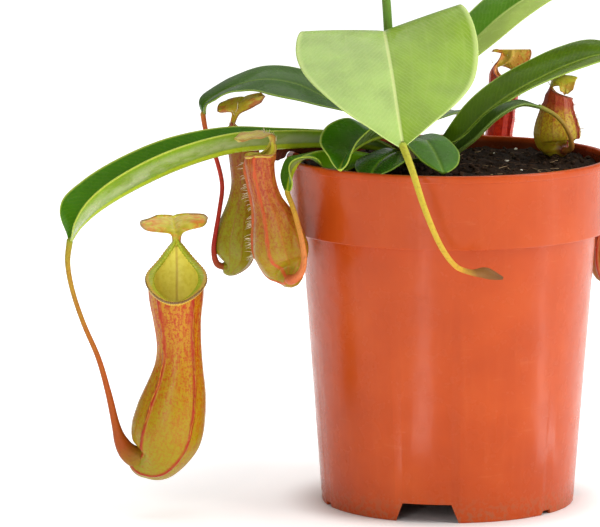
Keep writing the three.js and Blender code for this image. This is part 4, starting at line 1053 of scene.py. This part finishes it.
PITCHERS = {
    "a": {
        "facing": 270, "mouth_front": 0.27, "rim_half_width": 1.6, "wing": 0.7, "fringe": 0,
        "cup": [
            [-100.3, -19.5, 101, 2.2], [-100.3, -21.5, 96, 6.6], [-100.2, -24.5, 89.5, 10],
            [-100.2, -27.5, 81, 10.1], [-99.8, -28, 72, 8.8], [-99.2, -28, 63, 8.2], [-99.3, -28, 55, 8.9],
            [-100.3, -28, 46.5, 11], [-102.2, -28, 37.5, 12.8], [-104.5, -28, 28.5, 13],
            [-108.2, -28, 20.8, 9.6], [-113, -28, 18.2, 4.8], [-116.6, -28, 19.4, 2.2],
        ],
        "tendril": [
            [-138.9, -30, 100.5, 1.2], [-139.6, -30, 93, 1], [-137.9, -30, 83, 0.9], [-134, -30, 71, 0.9],
            [-128.6, -30, 58, 1], [-125, -30, 45, 1.2], [-122.4, -29.3, 33, 1.6], [-120.6, -28.6, 27, 2.6],
            [-117.8, -28, 22.6, 3.6], [-113.4, -28, 20.4, 4.2], [-108.6, -28, 21, 3.6],
        ],
        "lid": [
            [-100.2, -18.8, 102.4, 2.4, -2, 10, 0], [-100.4, -20.6, 104, 10.2, -4, 12, -4],
            [-100.7, -23.6, 106, 12, -5, 18, -8], [-100.9, -27.4, 108.2, 12.2, -5, 18, -12],
            [-100.9, -31.5, 110, 10.4, -5, 15, -12], [-100.9, -34.6, 111.2, 6, -5, 10, 0],
        ],
        "heights": [
            (0.05, (198, 148, 26)), (0.35, (194, 138, 22)), (0.6, (174, 140, 16)), (0.95, (150, 148, 20)),
        ],
        # Pitcher a's lining is painted near white-yellow, brighter than its own colour, for light shining
        # through the wall: painted light.
        "inside": ((252, 238, 100), (242, 226, 84), (190, 140, 56)), "speckle": (178, 46, 16),
        "rib": (172, 34, 20), "redness": 0.95,
        "rim": (((172, 190, 36), (190, 202, 60), (214, 178, 62)), (110, 70, 24)),
        "lid_tones": (((172, 166, 30), (200, 190, 72)), (206, 112, 46), (134, 96, 36)),
        "tendril_tones": [
            (0.0, (138, 156, 40)), (0.2, (178, 142, 40)), (0.5, (178, 82, 20)), (0.75, (166, 76, 18)),
            (0.87, (152, 100, 20)), (0.97, (158, 140, 22)),
        ],
    },
    "b": {
        "facing": 40, "mouth_front": 0.2, "rim_half_width": 0.8, "wing": 0.9, "fringe": 12,
        "cup": [
            [-79.2, 2.8, 142, 2.2], [-77.4, 4, 139, 5.3], [-76.4, 5, 133, 5.6], [-76.2, 5, 124, 4.6],
            [-76.1, 5, 117, 4.3], [-76.9, 5, 110, 5], [-78.4, 5, 102, 6.6], [-79.4, 5, 95.4, 7.6],
            [-79.6, 5, 90.2, 6.8], [-81.4, 4.8, 86.6, 4], [-83.6, 4.4, 86.2, 1.8],
        ],
        "tendril": [
            [-90.9, 10.4, 142.2, 1], [-89.6, 9.5, 135.6, 0.9], [-86.2, 8, 127, 0.85], [-83.9, 7, 117, 0.85],
            [-84.8, 3.6, 108, 0.85], [-86.2, 1.6, 100, 0.85], [-87, 1, 93.4, 0.95], [-85.8, 2.6, 88, 1.2],
            [-82.6, 4.6, 86.4, 1.3],
        ],
        "lid": [
            [-78.8, 3.4, 143.8, 1.8, 0, 0, 0], [-78, 4.6, 145.4, 8, 0, 6, -8],
            [-77.2, 6.8, 146.8, 9.6, 0, 8, -8], [-76.4, 9.4, 148, 9.4, 0, 8, -8],
            [-75.6, 12, 149, 7, 0, 8, -4],
        ],
        "heights": [
            (0.0, (160, 78, 36)), (0.3, (150, 104, 28)), (0.55, (146, 142, 26)), (1.0, (140, 150, 30)),
        ],
        "inside": ((190, 190, 60), (200, 200, 80), (140, 120, 50)), "speckle": (140, 54, 26),
        "rib": (150, 68, 32), "redness": 0.75,
        "rim": (((176, 150, 50), (196, 178, 70), (160, 100, 44)), (126, 58, 30)),
        "lid_tones": (((184, 164, 30), (200, 176, 60)), (196, 90, 40), (150, 84, 36)),
        "tendril_tones": [
            (0.0, (150, 150, 44)), (0.12, (196, 110, 44)), (0.3, (196, 60, 44)), (0.75, (168, 40, 30)),
            (1.0, (150, 90, 36)),
        ],
    },
    "c": {
        "facing": 205, "mouth_front": 0.18, "rim_half_width": 1.2, "wing": 1.1, "fringe": 60,
        "fringed": (-1,),
        "cup": [
            [-66.4, -35.2, 139.8, 2.2], [-68.2, -36.4, 135, 4.9], [-69.5, -37.2, 131.2, 5.3],
            [-68.6, -37.2, 124, 5], [-66.8, -37, 117, 5.5], [-64.5, -36.8, 110.5, 7.5],
            [-62.9, -36.6, 104, 9.3], [-61.7, -36.6, 98.6, 10], [-60.3, -37.2, 93.6, 8.4],
            [-58.8, -39.4, 90.2, 5.2], [-58.6, -43.4, 88.8, 2.4],
        ],
        "tendril": [
            [-59.5, -36, 119.6, 1], [-57.5, -41, 115, 0.95], [-55.7, -44.8, 109.3, 0.95],
            [-54.3, -47.6, 104, 1], [-53.5, -49, 98, 1.1], [-54.4, -49.2, 93.2, 1.3],
            [-56.6, -47.6, 90.4, 1.6], [-58.4, -44.6, 89.4, 1.9], [-58.8, -41.4, 89.6, 2],
        ],
        "lid": [
            [-65.8, -35.1, 140.8, 3, 0, 5, 5], [-68, -36.4, 141.4, 6, 0, 5, 0],
            [-71.4, -38.2, 141, 7.2, 0, 5, 0], [-74.8, -39.9, 140.4, 6.2, 0, 5, 0],
            [-77.4, -41.2, 139.8, 3, 0, 0, 0],
        ],
        "heights": [
            (0.0, (186, 114, 46)), (0.35, (178, 106, 36)), (0.62, (166, 132, 24)), (0.95, (150, 140, 22)),
        ],
        "inside": ((214, 190, 60), (220, 204, 84), (160, 110, 44)), "speckle": (160, 42, 26),
        "rib": (198, 80, 44), "redness": 0.9,
        "rim": (((206, 200, 50), (220, 214, 84), (196, 170, 50)), (160, 100, 36)),
        "lid_tones": (((190, 170, 60), (208, 192, 90)), (186, 120, 56), (150, 110, 50)),
        "tendril_tones": [
            (0.0, (190, 190, 50)), (0.2, (214, 170, 56)), (0.45, (216, 136, 70)), (0.8, (200, 100, 56)),
            (1.0, (186, 96, 44)),
        ],
    },
    "f": {
        "facing": 280, "mouth_front": 0.2, "rim_half_width": 0.8, "wing": 0.9, "fringe": 20,
        "cup": [
            [69.2, 46.4, 136.6, 2.4], [68.8, 44.4, 133.6, 5], [67.6, 43, 128, 5.7], [66.6, 42.4, 120, 5],
            [65.6, 42, 111, 5.6], [63.6, 41.6, 101, 7.6], [61.6, 41, 92, 8.6], [60.4, 40.6, 84, 7],
            [60.4, 40.4, 78.6, 4], [63, 40.2, 76.2, 1.8],
        ],
        "tendril": [
            [80.1, 36.6, 145.9, 1], [83.6, 37, 138, 0.9], [86, 37.6, 125, 0.85], [84, 38.6, 108, 0.9],
            [78, 39.4, 92, 1], [70.4, 40, 80.4, 1.2], [65.4, 40.2, 76.6, 1.3], [61.6, 40.4, 77.4, 1.3],
        ],
        "lid": [
            [69.8, 46.6, 139, 2, 0, 15, 15], [70.4, 42, 141, 6.5, 0, 10, 0],
            [71.1, 37.5, 141.2, 7.5, 0, 10, 0], [71.7, 33.5, 140.8, 5, 0, 5, 0],
            [72.1, 31, 140.4, 1.8, 0, 0, 0],
        ],
        "heights": [
            (0.0, (190, 106, 40)), (0.4, (184, 98, 36)), (0.7, (170, 110, 36)), (1.0, (150, 126, 36)),
        ],
        "inside": ((200, 180, 60), (206, 190, 80), (150, 110, 50)), "speckle": (156, 50, 26),
        "rib": (176, 56, 30), "redness": 0.9,
        "rim": (((196, 160, 50), (206, 176, 74), (180, 110, 40)), (140, 64, 28)),
        "lid_tones": (((184, 156, 46), (200, 176, 74)), (186, 92, 40), (140, 84, 34)),
        "tendril_tones": [(0.0, (140, 150, 44)), (0.4, (176, 108, 40)), (1.0, (166, 72, 32))],
    },
    "g": {
        "facing": 5, "mouth_front": 0.22, "rim_half_width": 0.9, "wing": 0.9, "fringe": 16,
        "cup": [
            [40, 22.6, 152.8, 1.8], [40.9, 22.3, 150, 4.2], [41.3, 22, 146, 5.5], [41, 21.7, 142.4, 6.6],
            [40.9, 21.4, 138.4, 8], [41, 21.2, 134.4, 8.8], [41.2, 21, 131, 7.8], [42.3, 19.6, 129, 4.1],
            [43.8, 17.6, 128.8, 1.8],
        ],
        "tendril": [
            [33.9, 2.7, 146.3, 0.9], [38.6, 5.6, 143.6, 0.8], [42.6, 8.4, 139.4, 0.8],
            [45.2, 10.6, 134.6, 0.85], [46, 12.6, 130.4, 1], [44.6, 16, 128.5, 1.2], [42.6, 19, 128.6, 1.2],
        ],
        "lid": [
            [40.2, 22, 154.4, 4.6, -16, -10, -25], [42, 21.7, 155.2, 6.8, -22, -15, -38],
            [44, 21.4, 155.5, 7.4, -24, -20, -42], [46, 21.1, 155.4, 7.2, -24, -20, -42],
            [48, 20.8, 155, 5.8, -22, -15, -36],
        ],
        "heights": [
            (0.0, (168, 62, 30)), (0.3, (160, 74, 30)), (0.42, (188, 156, 30)), (0.9, (180, 166, 32)),
            (1.0, (80, 50, 24)),
        ],
        "inside": ((190, 160, 60), (200, 176, 80), (140, 90, 50)), "speckle": (146, 44, 24),
        "rib": (156, 50, 28), "redness": 0.8,
        "rim": (((190, 146, 50), (200, 164, 74), (150, 84, 36)), (120, 50, 26)),
        "lid_tones": (((182, 178, 44), (206, 196, 84)), (196, 130, 50), (150, 110, 44)),
        "tendril_tones": [(0.0, (110, 130, 44)), (0.5, (160, 120, 44)), (1.0, (150, 80, 36))],
    },
    "k": {
        "facing": 350, "mouth_front": 0.2, "rim_half_width": 0.85, "wing": 0.9, "fringe": 20,
        "cup": [
            [22.2, 73.6, 154.8, 2.2], [22.4, 73.2, 151, 4.8], [23.2, 72.8, 146, 5.8],
            [22.8, 72.6, 139, 5.1], [21.8, 72.8, 130, 5], [20.6, 73.2, 120, 6], [19.6, 74, 109, 8],
            [19.6, 74.6, 99, 9], [20.6, 75, 91, 7.6], [22.4, 75.4, 86, 4.4], [24.6, 75.8, 84.4, 2],
        ],
        "tendril": [
            [13.7, 66.8, 130.6, 1], [17, 72.5, 122, 0.9], [23, 82.6, 112, 0.9], [28, 85.4, 101, 0.95],
            [30.4, 83.4, 91, 1.1], [28.4, 79, 85, 1.3], [24.2, 75.8, 84.2, 1.4],
        ],
        "lid": [
            [23.4, 73.4, 155.2, 3.4, 60, 6, 4], [24.8, 73.1, 156, 5.2, 78, 6, 0],
            [25.7, 72.8, 157.2, 6.8, 80, 6, 0], [26, 72.6, 158.7, 7.5, 80, 4, 0],
            [26, 72.5, 160.1, 7, 80, 0, 0],
        ],
        "heights": [
            (0.0, (206, 96, 36)), (0.25, (204, 60, 30)), (0.7, (186, 46, 28)), (1.0, (160, 60, 32)),
        ],
        "inside": ((190, 130, 56), (204, 150, 76), (150, 80, 50)), "speckle": (156, 32, 22),
        "rib": (166, 30, 24), "redness": 0.8,
        "rim": (((210, 126, 46), (220, 146, 64), (176, 80, 34)), (130, 44, 26)),
        "lid_tones": (((190, 176, 50), (220, 180, 76)), (214, 120, 44), (150, 76, 34)),
        "tendril_tones": [(0.0, (130, 140, 44)), (0.4, (176, 96, 36)), (1.0, (166, 56, 30))],
    },
}


def wall_points(rows, front, places, angles, extra):
    """Points on a cup's wall at angles from its front, moved outward by extra, and their radius."""
    ahead = directions(rows, places)
    forward = unit(front - ahead * (ahead @ front)[..., None])
    side = np.cross(forward, ahead)
    row = sample_rows(rows, places)
    radius = row[..., 3] + extra
    outward = forward * np.cos(angles)[..., None] + side * np.sin(angles)[..., None]
    return row[..., :3] + outward * radius[..., None], radius


def back_point(rows, front, place, extra):
    """The point on the back of a cup's wall at one place, moved outward by extra."""
    return wall_points(rows, front, np.array(place), np.array(math.pi), extra)[0]


def rim_places(pitcher, angles):
    """How far down the cup its rim lies at each angle from the front."""
    back = (1 - np.cos(angles)) / 2
    return pitcher["mouth_front"] * (1 - (back + back**4) / 2)


def pitcher_piece(letter, part, points, faces, material, marks=None, replaces=True):
    """A piece of one pitcher, which stands for its node."""
    node = f"pitcher_{letter}"
    add_piece(f"{node}_{part}", points, faces, material, [node] if replaces else (), f"{node}_skin", marks)


def cup_piece(letter, pitcher, front):
    """The cup's wall: up the outside, over the rim and down the lining."""
    angles = np.arange(CUP_SIDES) * math.tau / CUP_SIDES
    off_front = np.minimum(angles, math.tau - angles)
    rim = rim_places(pitcher, angles)
    outer = rim + (1 - rim) * np.linspace(1, 0, CUP_STEPS)[:, None] ** 0.9
    inner = rim + (CAVITY_FLOOR - rim) * np.linspace(0, 1, LINING_STEPS)[:, None]
    girth = sample_rows(pitcher["cup"], outer)[..., 3]
    ridges = np.zeros_like(outer)
    for rib in RIB_ANGLES:
        height = WING_RIDGE if rib == WING_ANGLE else RIB_RIDGE
        ridges += height * np.exp(-(((off_front - math.radians(rib)) * girth / RIDGE_WIDTH) ** 2))
    fade = smooth(girth, 1.5, 4.5) * smooth(outer, 1.0, WING_END)
    outside, outside_girth = wall_points(pitcher["cup"], front, outer, angles, ridges * fade)
    lining, lining_girth = wall_points(pitcher["cup"], front, inner, angles, -CUP_WALL)
    rings = CUP_STEPS + LINING_STEPS
    marks = {
        "down": np.concatenate([outer, inner]),
        "around": np.broadcast_to(off_front / math.pi, (rings, CUP_SIDES)),
        "inner": np.concatenate([np.zeros_like(outer), np.ones_like(inner)]),
        "girth": np.concatenate([outside_girth, lining_girth]),
    }
    skin = pitcher_skin(f"pitcher_{letter}_wall", pitcher["heights"], pitcher["inside"],
                        pitcher["speckle"], pitcher["rib"], pitcher["redness"])
    points = np.concatenate([outside, lining])
    pitcher_piece(letter, "cup", points, closed_skin(rings, CUP_SIDES), skin, marks)


def rim_piece(letter, pitcher, front):
    """The rolled rim round the mouth, with fine ribs across it."""
    angles = np.arange(RIM_SIDES) * math.tau / RIM_SIDES
    places = rim_places(pitcher, angles)
    middle, girth = wall_points(pitcher["cup"], front, places, angles, -CUP_WALL / 2)
    travel = unit(np.roll(middle, -1, 0) - np.roll(middle, 1, 0))
    outward = middle - sample_rows(pitcher["cup"], places)[:, :3]
    outward = unit(outward - travel * np.sum(outward * travel, -1, keepdims=True))
    lift = np.cross(travel, outward)
    turn = math.tau * np.arange(RIM_SECTION) / RIM_SECTION
    ribs = 1 + 0.1 * np.cos(angles * RIM_RIBS)[:, None]
    half_width = (pitcher["rim_half_width"] * smooth(girth, -1.0, 4.5))[:, None]
    reach = half_width * (RIM_SHIFT + np.cos(turn)) * ribs
    rise = 0.55 * half_width * np.sin(turn) * ribs + 0.25 * half_width * (1 - np.cos(turn) ** 2)
    points = middle[:, None] + outward[:, None] * reach[..., None] + lift[:, None] * rise[..., None]
    faces = skin_faces(RIM_SIDES + 1, RIM_SECTION)[:, ::-1] % (RIM_SIDES * RIM_SECTION)
    marks = {
        "roll": np.broadcast_to((1 + np.cos(turn)) / 2, points.shape[:2]),
        "turn": np.broadcast_to(angles[:, None] / math.tau, points.shape[:2]),
    }
    skin = rim_skin(f"pitcher_{letter}_lip", *pitcher["rim"])
    pitcher_piece(letter, "rim", points, faces.tolist(), skin, marks)


def lid_piece(letter, pitcher, front):
    """The lid over the mouth, rooted in the wall behind it."""
    seat = back_point(pitcher["cup"], front, LID_SEAT, -CUP_WALL / 2)
    rows = [[*seat, LID_ROOT_HALF_WIDTH, 0, 0, 0], *pitcher["lid"]]
    points, faces, marks = blade(rows, np.cross(front, UP), LID_STEPS, LID_COLUMNS, LID_WAVE)
    skin = lid_skin(f"pitcher_{letter}_cover", *pitcher["lid_tones"])
    pitcher_piece(letter, "lid", points, faces, skin, marks)


def hair(start, lean, length, radius):
    """One thin tapering hair that bends a little downward."""
    lean = lean / np.linalg.norm(lean)
    rows = [[*(start + lean * length * share - UP * 0.25 * length * share**2), radius * (1 - 0.8 * share)]
            for share in (0, 0.35, 0.7, 1)]
    return tube(rows, 4, 4)[:2]


def wings_piece(letter, pitcher, front):
    """The two low wings down a cup's front, the hairs along them, and those behind the lid."""
    rng = random.Random(f"wings {letter}")
    rows = pitcher["cup"]
    start = pitcher["mouth_front"] * 0.95
    stop = WING_END - 0.08
    places = np.linspace(start, stop, WING_STEPS + 1)
    swell = pitcher["wing"] * smooth(places, start, start + 0.06) * smooth(places, stop, WING_END - 0.3)
    wings, hairs = [], []
    for sign in (-1, 1):
        angle = np.full_like(places, math.radians(WING_ANGLE) * sign)
        foot, _ = wall_points(rows, front, places, angle, -0.3)
        crest, _ = wall_points(rows, front, places, angle, swell + 0.1)
        across = unit(np.cross(crest - foot, directions(rows, places)))
        crest = crest + across * 0.25 * np.sin(places * 60 + sign)[:, None]
        ring = np.stack([
            foot + across * WING_FOOT, crest + across * WING_CREST,
            crest - across * WING_CREST, foot - across * WING_FOOT,
        ], 1)
        wings.append((ring.reshape(-1, 3), closed_skin(WING_STEPS + 1, 4)))
        for _ in range(pitcher["fringe"] if sign in pitcher.get("fringed", (-1, 1)) else 0):
            at = rng.randrange(4, WING_STEPS - 14)
            lean = unit(crest[at] - foot[at]) + across[at] * rng.uniform(-0.5, 0.5)
            lean = lean + UP * rng.uniform(-0.3, 0.5)
            hairs.append(hair(crest[at], lean, rng.uniform(*HAIR_LENGTHS), HAIR_RADIUS))
    skin = speckled(f"pitcher_{letter}_wing", (pitcher["rib"], pitcher["heights"][1][1]), 500, 0.45)
    pitcher_piece(letter, "wings", *joined(wings), skin)
    root = back_point(rows, front, 0.0, 0.0)
    ahead = np.array(pitcher["lid"][1][:3]) - root
    for _ in range(pitcher["fringe"] // 3):
        lean = UP + np.array([rng.uniform(-0.5, 0.5), rng.uniform(-0.5, 0.5), 0])
        place = root + ahead * rng.uniform(-0.4, 1.0) + UP * 0.3
        hairs.append(hair(place, lean, rng.uniform(*TUFT_LENGTHS), TUFT_RADIUS))
    if hairs:
        skin = speckled(f"pitcher_{letter}_hair", ((214, 196, 160), (236, 226, 200)), 900, 0.5)
        pitcher_piece(letter, "fringe", *joined(hairs), skin, replaces=False)


def tendril_piece(name, letter, rows, tones, node):
    """A stalk that runs on from the tip of the leaf with the same letter."""
    rows = [[*LEAVES[letter]["rows"][-1][:3], rows[0][3]], *rows]
    points, faces, along = tube(rows, TENDRIL_STEPS, TENDRIL_SIDES)
    skin = tendril_skin(f"{name}_bark", tones)
    add_piece(name, points, faces, skin, [node], f"{node}_skin", {"along": along})


def pitchers():
    for letter, pitcher in PITCHERS.items():
        front = heading(pitcher["facing"])
        cup_piece(letter, pitcher, front)
        rim_piece(letter, pitcher, front)
        lid_piece(letter, pitcher, front)
        wings_piece(letter, pitcher, front)
        node = f"pitcher_{letter}"
        tendril_piece(f"{node}_tendril", letter, pitcher["tendril"], pitcher["tendril_tones"], node)


# Tendrils that end in a bud instead of a pitcher: x, y, z and radius

BUDS = {
    "d": {
        "rows": [
            [-18.2, -62.5, 140, 1.4], [-15.2, -68, 132.5, 1.25], [-10.6, -71, 118.7, 1.1],
            [-5.3, -72, 106.4, 1], [0, -72, 98.9, 0.95], [5.6, -72, 96.4, 1.05], [10.6, -72, 96.2, 2],
            [13.8, -72, 95.2, 1.6], [17.2, -72, 94.2, 0.5],
        ],
        "tones": [
            (0.0, (150, 176, 58)), (0.3, (196, 176, 52)), (0.6, (206, 156, 48)), (0.7, (140, 92, 38)),
            (1.0, (100, 66, 34)),
        ],
    },
    "e": {
        "rows": [
            [71.3, 44.1, 180.5, 1], [75.6, 47.6, 172, 0.9], [78, 52, 162, 0.85], [78, 54.6, 152, 0.85],
            [76.4, 55.4, 142, 0.9], [75.8, 55.6, 136, 1.3], [76.2, 55.6, 131, 2.3], [77.8, 55.6, 127, 1.8],
            [79.4, 55.6, 124.6, 0.6],
        ],
        "tones": [
            (0.0, (120, 150, 56)), (0.5, (160, 150, 60)), (0.7, (130, 120, 50)), (1.0, (110, 70, 36)),
        ],
    },
}


def buds():
    for letter, bud in BUDS.items():
        node = f"tendril_{letter}"
        tendril_piece(f"{node}_stalk", letter, bud["rows"], bud["tones"], node)


# Stage: floor, lights and camera. The floor glows as painted light, and its glow fades near the pot as a
# painted shadow. Softboxes aim at the pot, and strips lie on the floor to make the upright highlights on it.
# The world is bright to the camera, and its light is dimmer from the left.

VIEW_TARGET = np.array([-55, 0, 88.4])
VIEW_DISTANCE = 1800
VIEW_ELEVATION = 8.8
LENS = 291.6
SENSOR_WIDTH = 36
AMBIENT = 0.46
FLAGGED = 0.14
FLOOR_HALF = 30.0
AIM_HEIGHT = 0.09
STRIP_HEIGHT = 0.003
SOFTBOXES = {
    "key": {"azimuth": -20, "elevation": 30, "distance": 1.3, "size": (0.7, 1.1), "power": 11.2,
            "tint": (1.0, 0.99, 0.97)},
    "front": {"azimuth": -109, "elevation": 12, "distance": 1.3, "size": (0.1, 0.8), "power": 3.2,
              "tint": (1.0, 1.0, 1.0)},
    "top": {"azimuth": 70, "elevation": 75, "distance": 1.4, "size": (1.2, 1.2), "power": 8,
            "tint": (1.0, 1.0, 1.0)},
}
STRIPS = {
    "low_front": {"azimuth": -109, "near": 0.08, "far": 0.6, "width": 0.02, "power": 0.12},
    "low_side": {"azimuth": -16, "near": 0.08, "far": 0.6, "width": 0.03, "power": 0.15},
}


def floor():
    corners = [(x * FLOOR_HALF, y * FLOOR_HALF, 0) for x, y in ((-1, -1), (1, -1), (1, 1), (-1, 1))]
    mesh = bpy.data.meshes.new("floor")
    mesh.from_pydata(corners, [], [(0, 1, 2, 3)])
    plane = bpy.data.objects.new("floor", mesh)
    bpy.context.scene.collection.objects.link(plane)
    finish = Finish("floor_card", Roughness=0.6, Specular_IOR_Level=0.1, Emission_Color=(0.96, 1.0, 1.0, 1.0))
    apart = finish.node("VectorMath", {0: finish.place(), 1: tuple(POT_AXIS)}, operation="DISTANCE")
    off_pot = apart.outputs["Value"]
    # Painted light and shadow: the floor glows, and the glow fades to nothing near the pot, painting a shadow
    # round and under it.
    near_glow = finish.rise(off_pot, 0.042, 0.066, 0.0, 0.4)
    glow = finish.plus(near_glow, finish.rise(off_pot, 0.066, 0.25, 0.0, 0.3))
    colour = finish.ramp(finish.noise(8, 2), [(0.3, (246, 243, 241)), (0.7, (251, 249, 248))])
    mesh.materials.append(finish.wire(Base_Color=colour, Emission_Strength=glow))


def aim(thing, place, target):
    """Puts a light or camera at a place, looking at a target, both in metres."""
    thing.location = place
    thing.rotation_euler = (Vector(target) - Vector(place)).to_track_quat("-Z", "Y").to_euler()
    bpy.context.scene.collection.objects.link(thing)


def panel(name, width, height, power, tint=(1.0, 1.0, 1.0)):
    """A rectangular light, not yet placed."""
    light = bpy.data.lights.new(name, "AREA")
    light.shape = "RECTANGLE"
    light.size = width
    light.size_y = height
    light.energy = power
    light.color = tint
    return bpy.data.objects.new(name, light)


def lights():
    target = POT_AXIS + UP * AIM_HEIGHT
    for name, strip in STRIPS.items():
        near, far = strip["near"], strip["far"]
        light = panel(name, far - near, strip["width"], strip["power"])
        light.location = POT_AXIS + heading(strip["azimuth"]) * (near + far) / 2 + UP * STRIP_HEIGHT
        light.rotation_euler = (math.pi, 0, math.radians(strip["azimuth"]))
        light.visible_camera = False
        bpy.context.scene.collection.objects.link(light)
    for name, box in SOFTBOXES.items():
        rise = math.radians(box["elevation"])
        toward = heading(box["azimuth"]) * math.cos(rise) + UP * math.sin(rise)
        light = panel(name, *box["size"], box["power"], box["tint"])
        aim(light, target + toward * box["distance"], target)


def surroundings():
    world = bpy.data.worlds.new("studio")
    world.use_nodes = True
    sky = NodeTree(world.node_tree)
    backdrop = sky.tree.nodes["Background"]
    toward = sky.node("SeparateXYZ", {0: sky.node("TexCoord").outputs["Generated"]}).outputs["X"]
    dim = sky.map_range(toward, -0.75, -0.25, FLAGGED, AMBIENT)
    seen = sky.node("LightPath").outputs["Is Camera Ray"]
    sky.feed(backdrop.inputs["Color"], (1, 1, 1, 1))
    sky.feed(backdrop.inputs["Strength"], sky.map_range(seen, 0.0, 1.0, dim, 1.0))
    bpy.context.scene.world = world
    bpy.context.scene.view_settings.view_transform = "Standard"


def camera():
    lens = bpy.data.cameras.new("camera")
    lens.lens = LENS
    lens.sensor_width = SENSOR_WIDTH
    lens.sensor_fit = "HORIZONTAL"
    lens.clip_end = 100
    tilt = math.radians(VIEW_ELEVATION)
    target = VIEW_TARGET * MM + POT_AXIS
    place = target + np.array([0, -math.cos(tilt), math.sin(tilt)]) * VIEW_DISTANCE * MM
    seer = bpy.data.objects.new("camera", lens)
    aim(seer, place, target)
    bpy.context.scene.camera = seer


pot()
soil()
stem()
leaves()
pitchers()
buds()
floor()
lights()
surroundings()
camera()
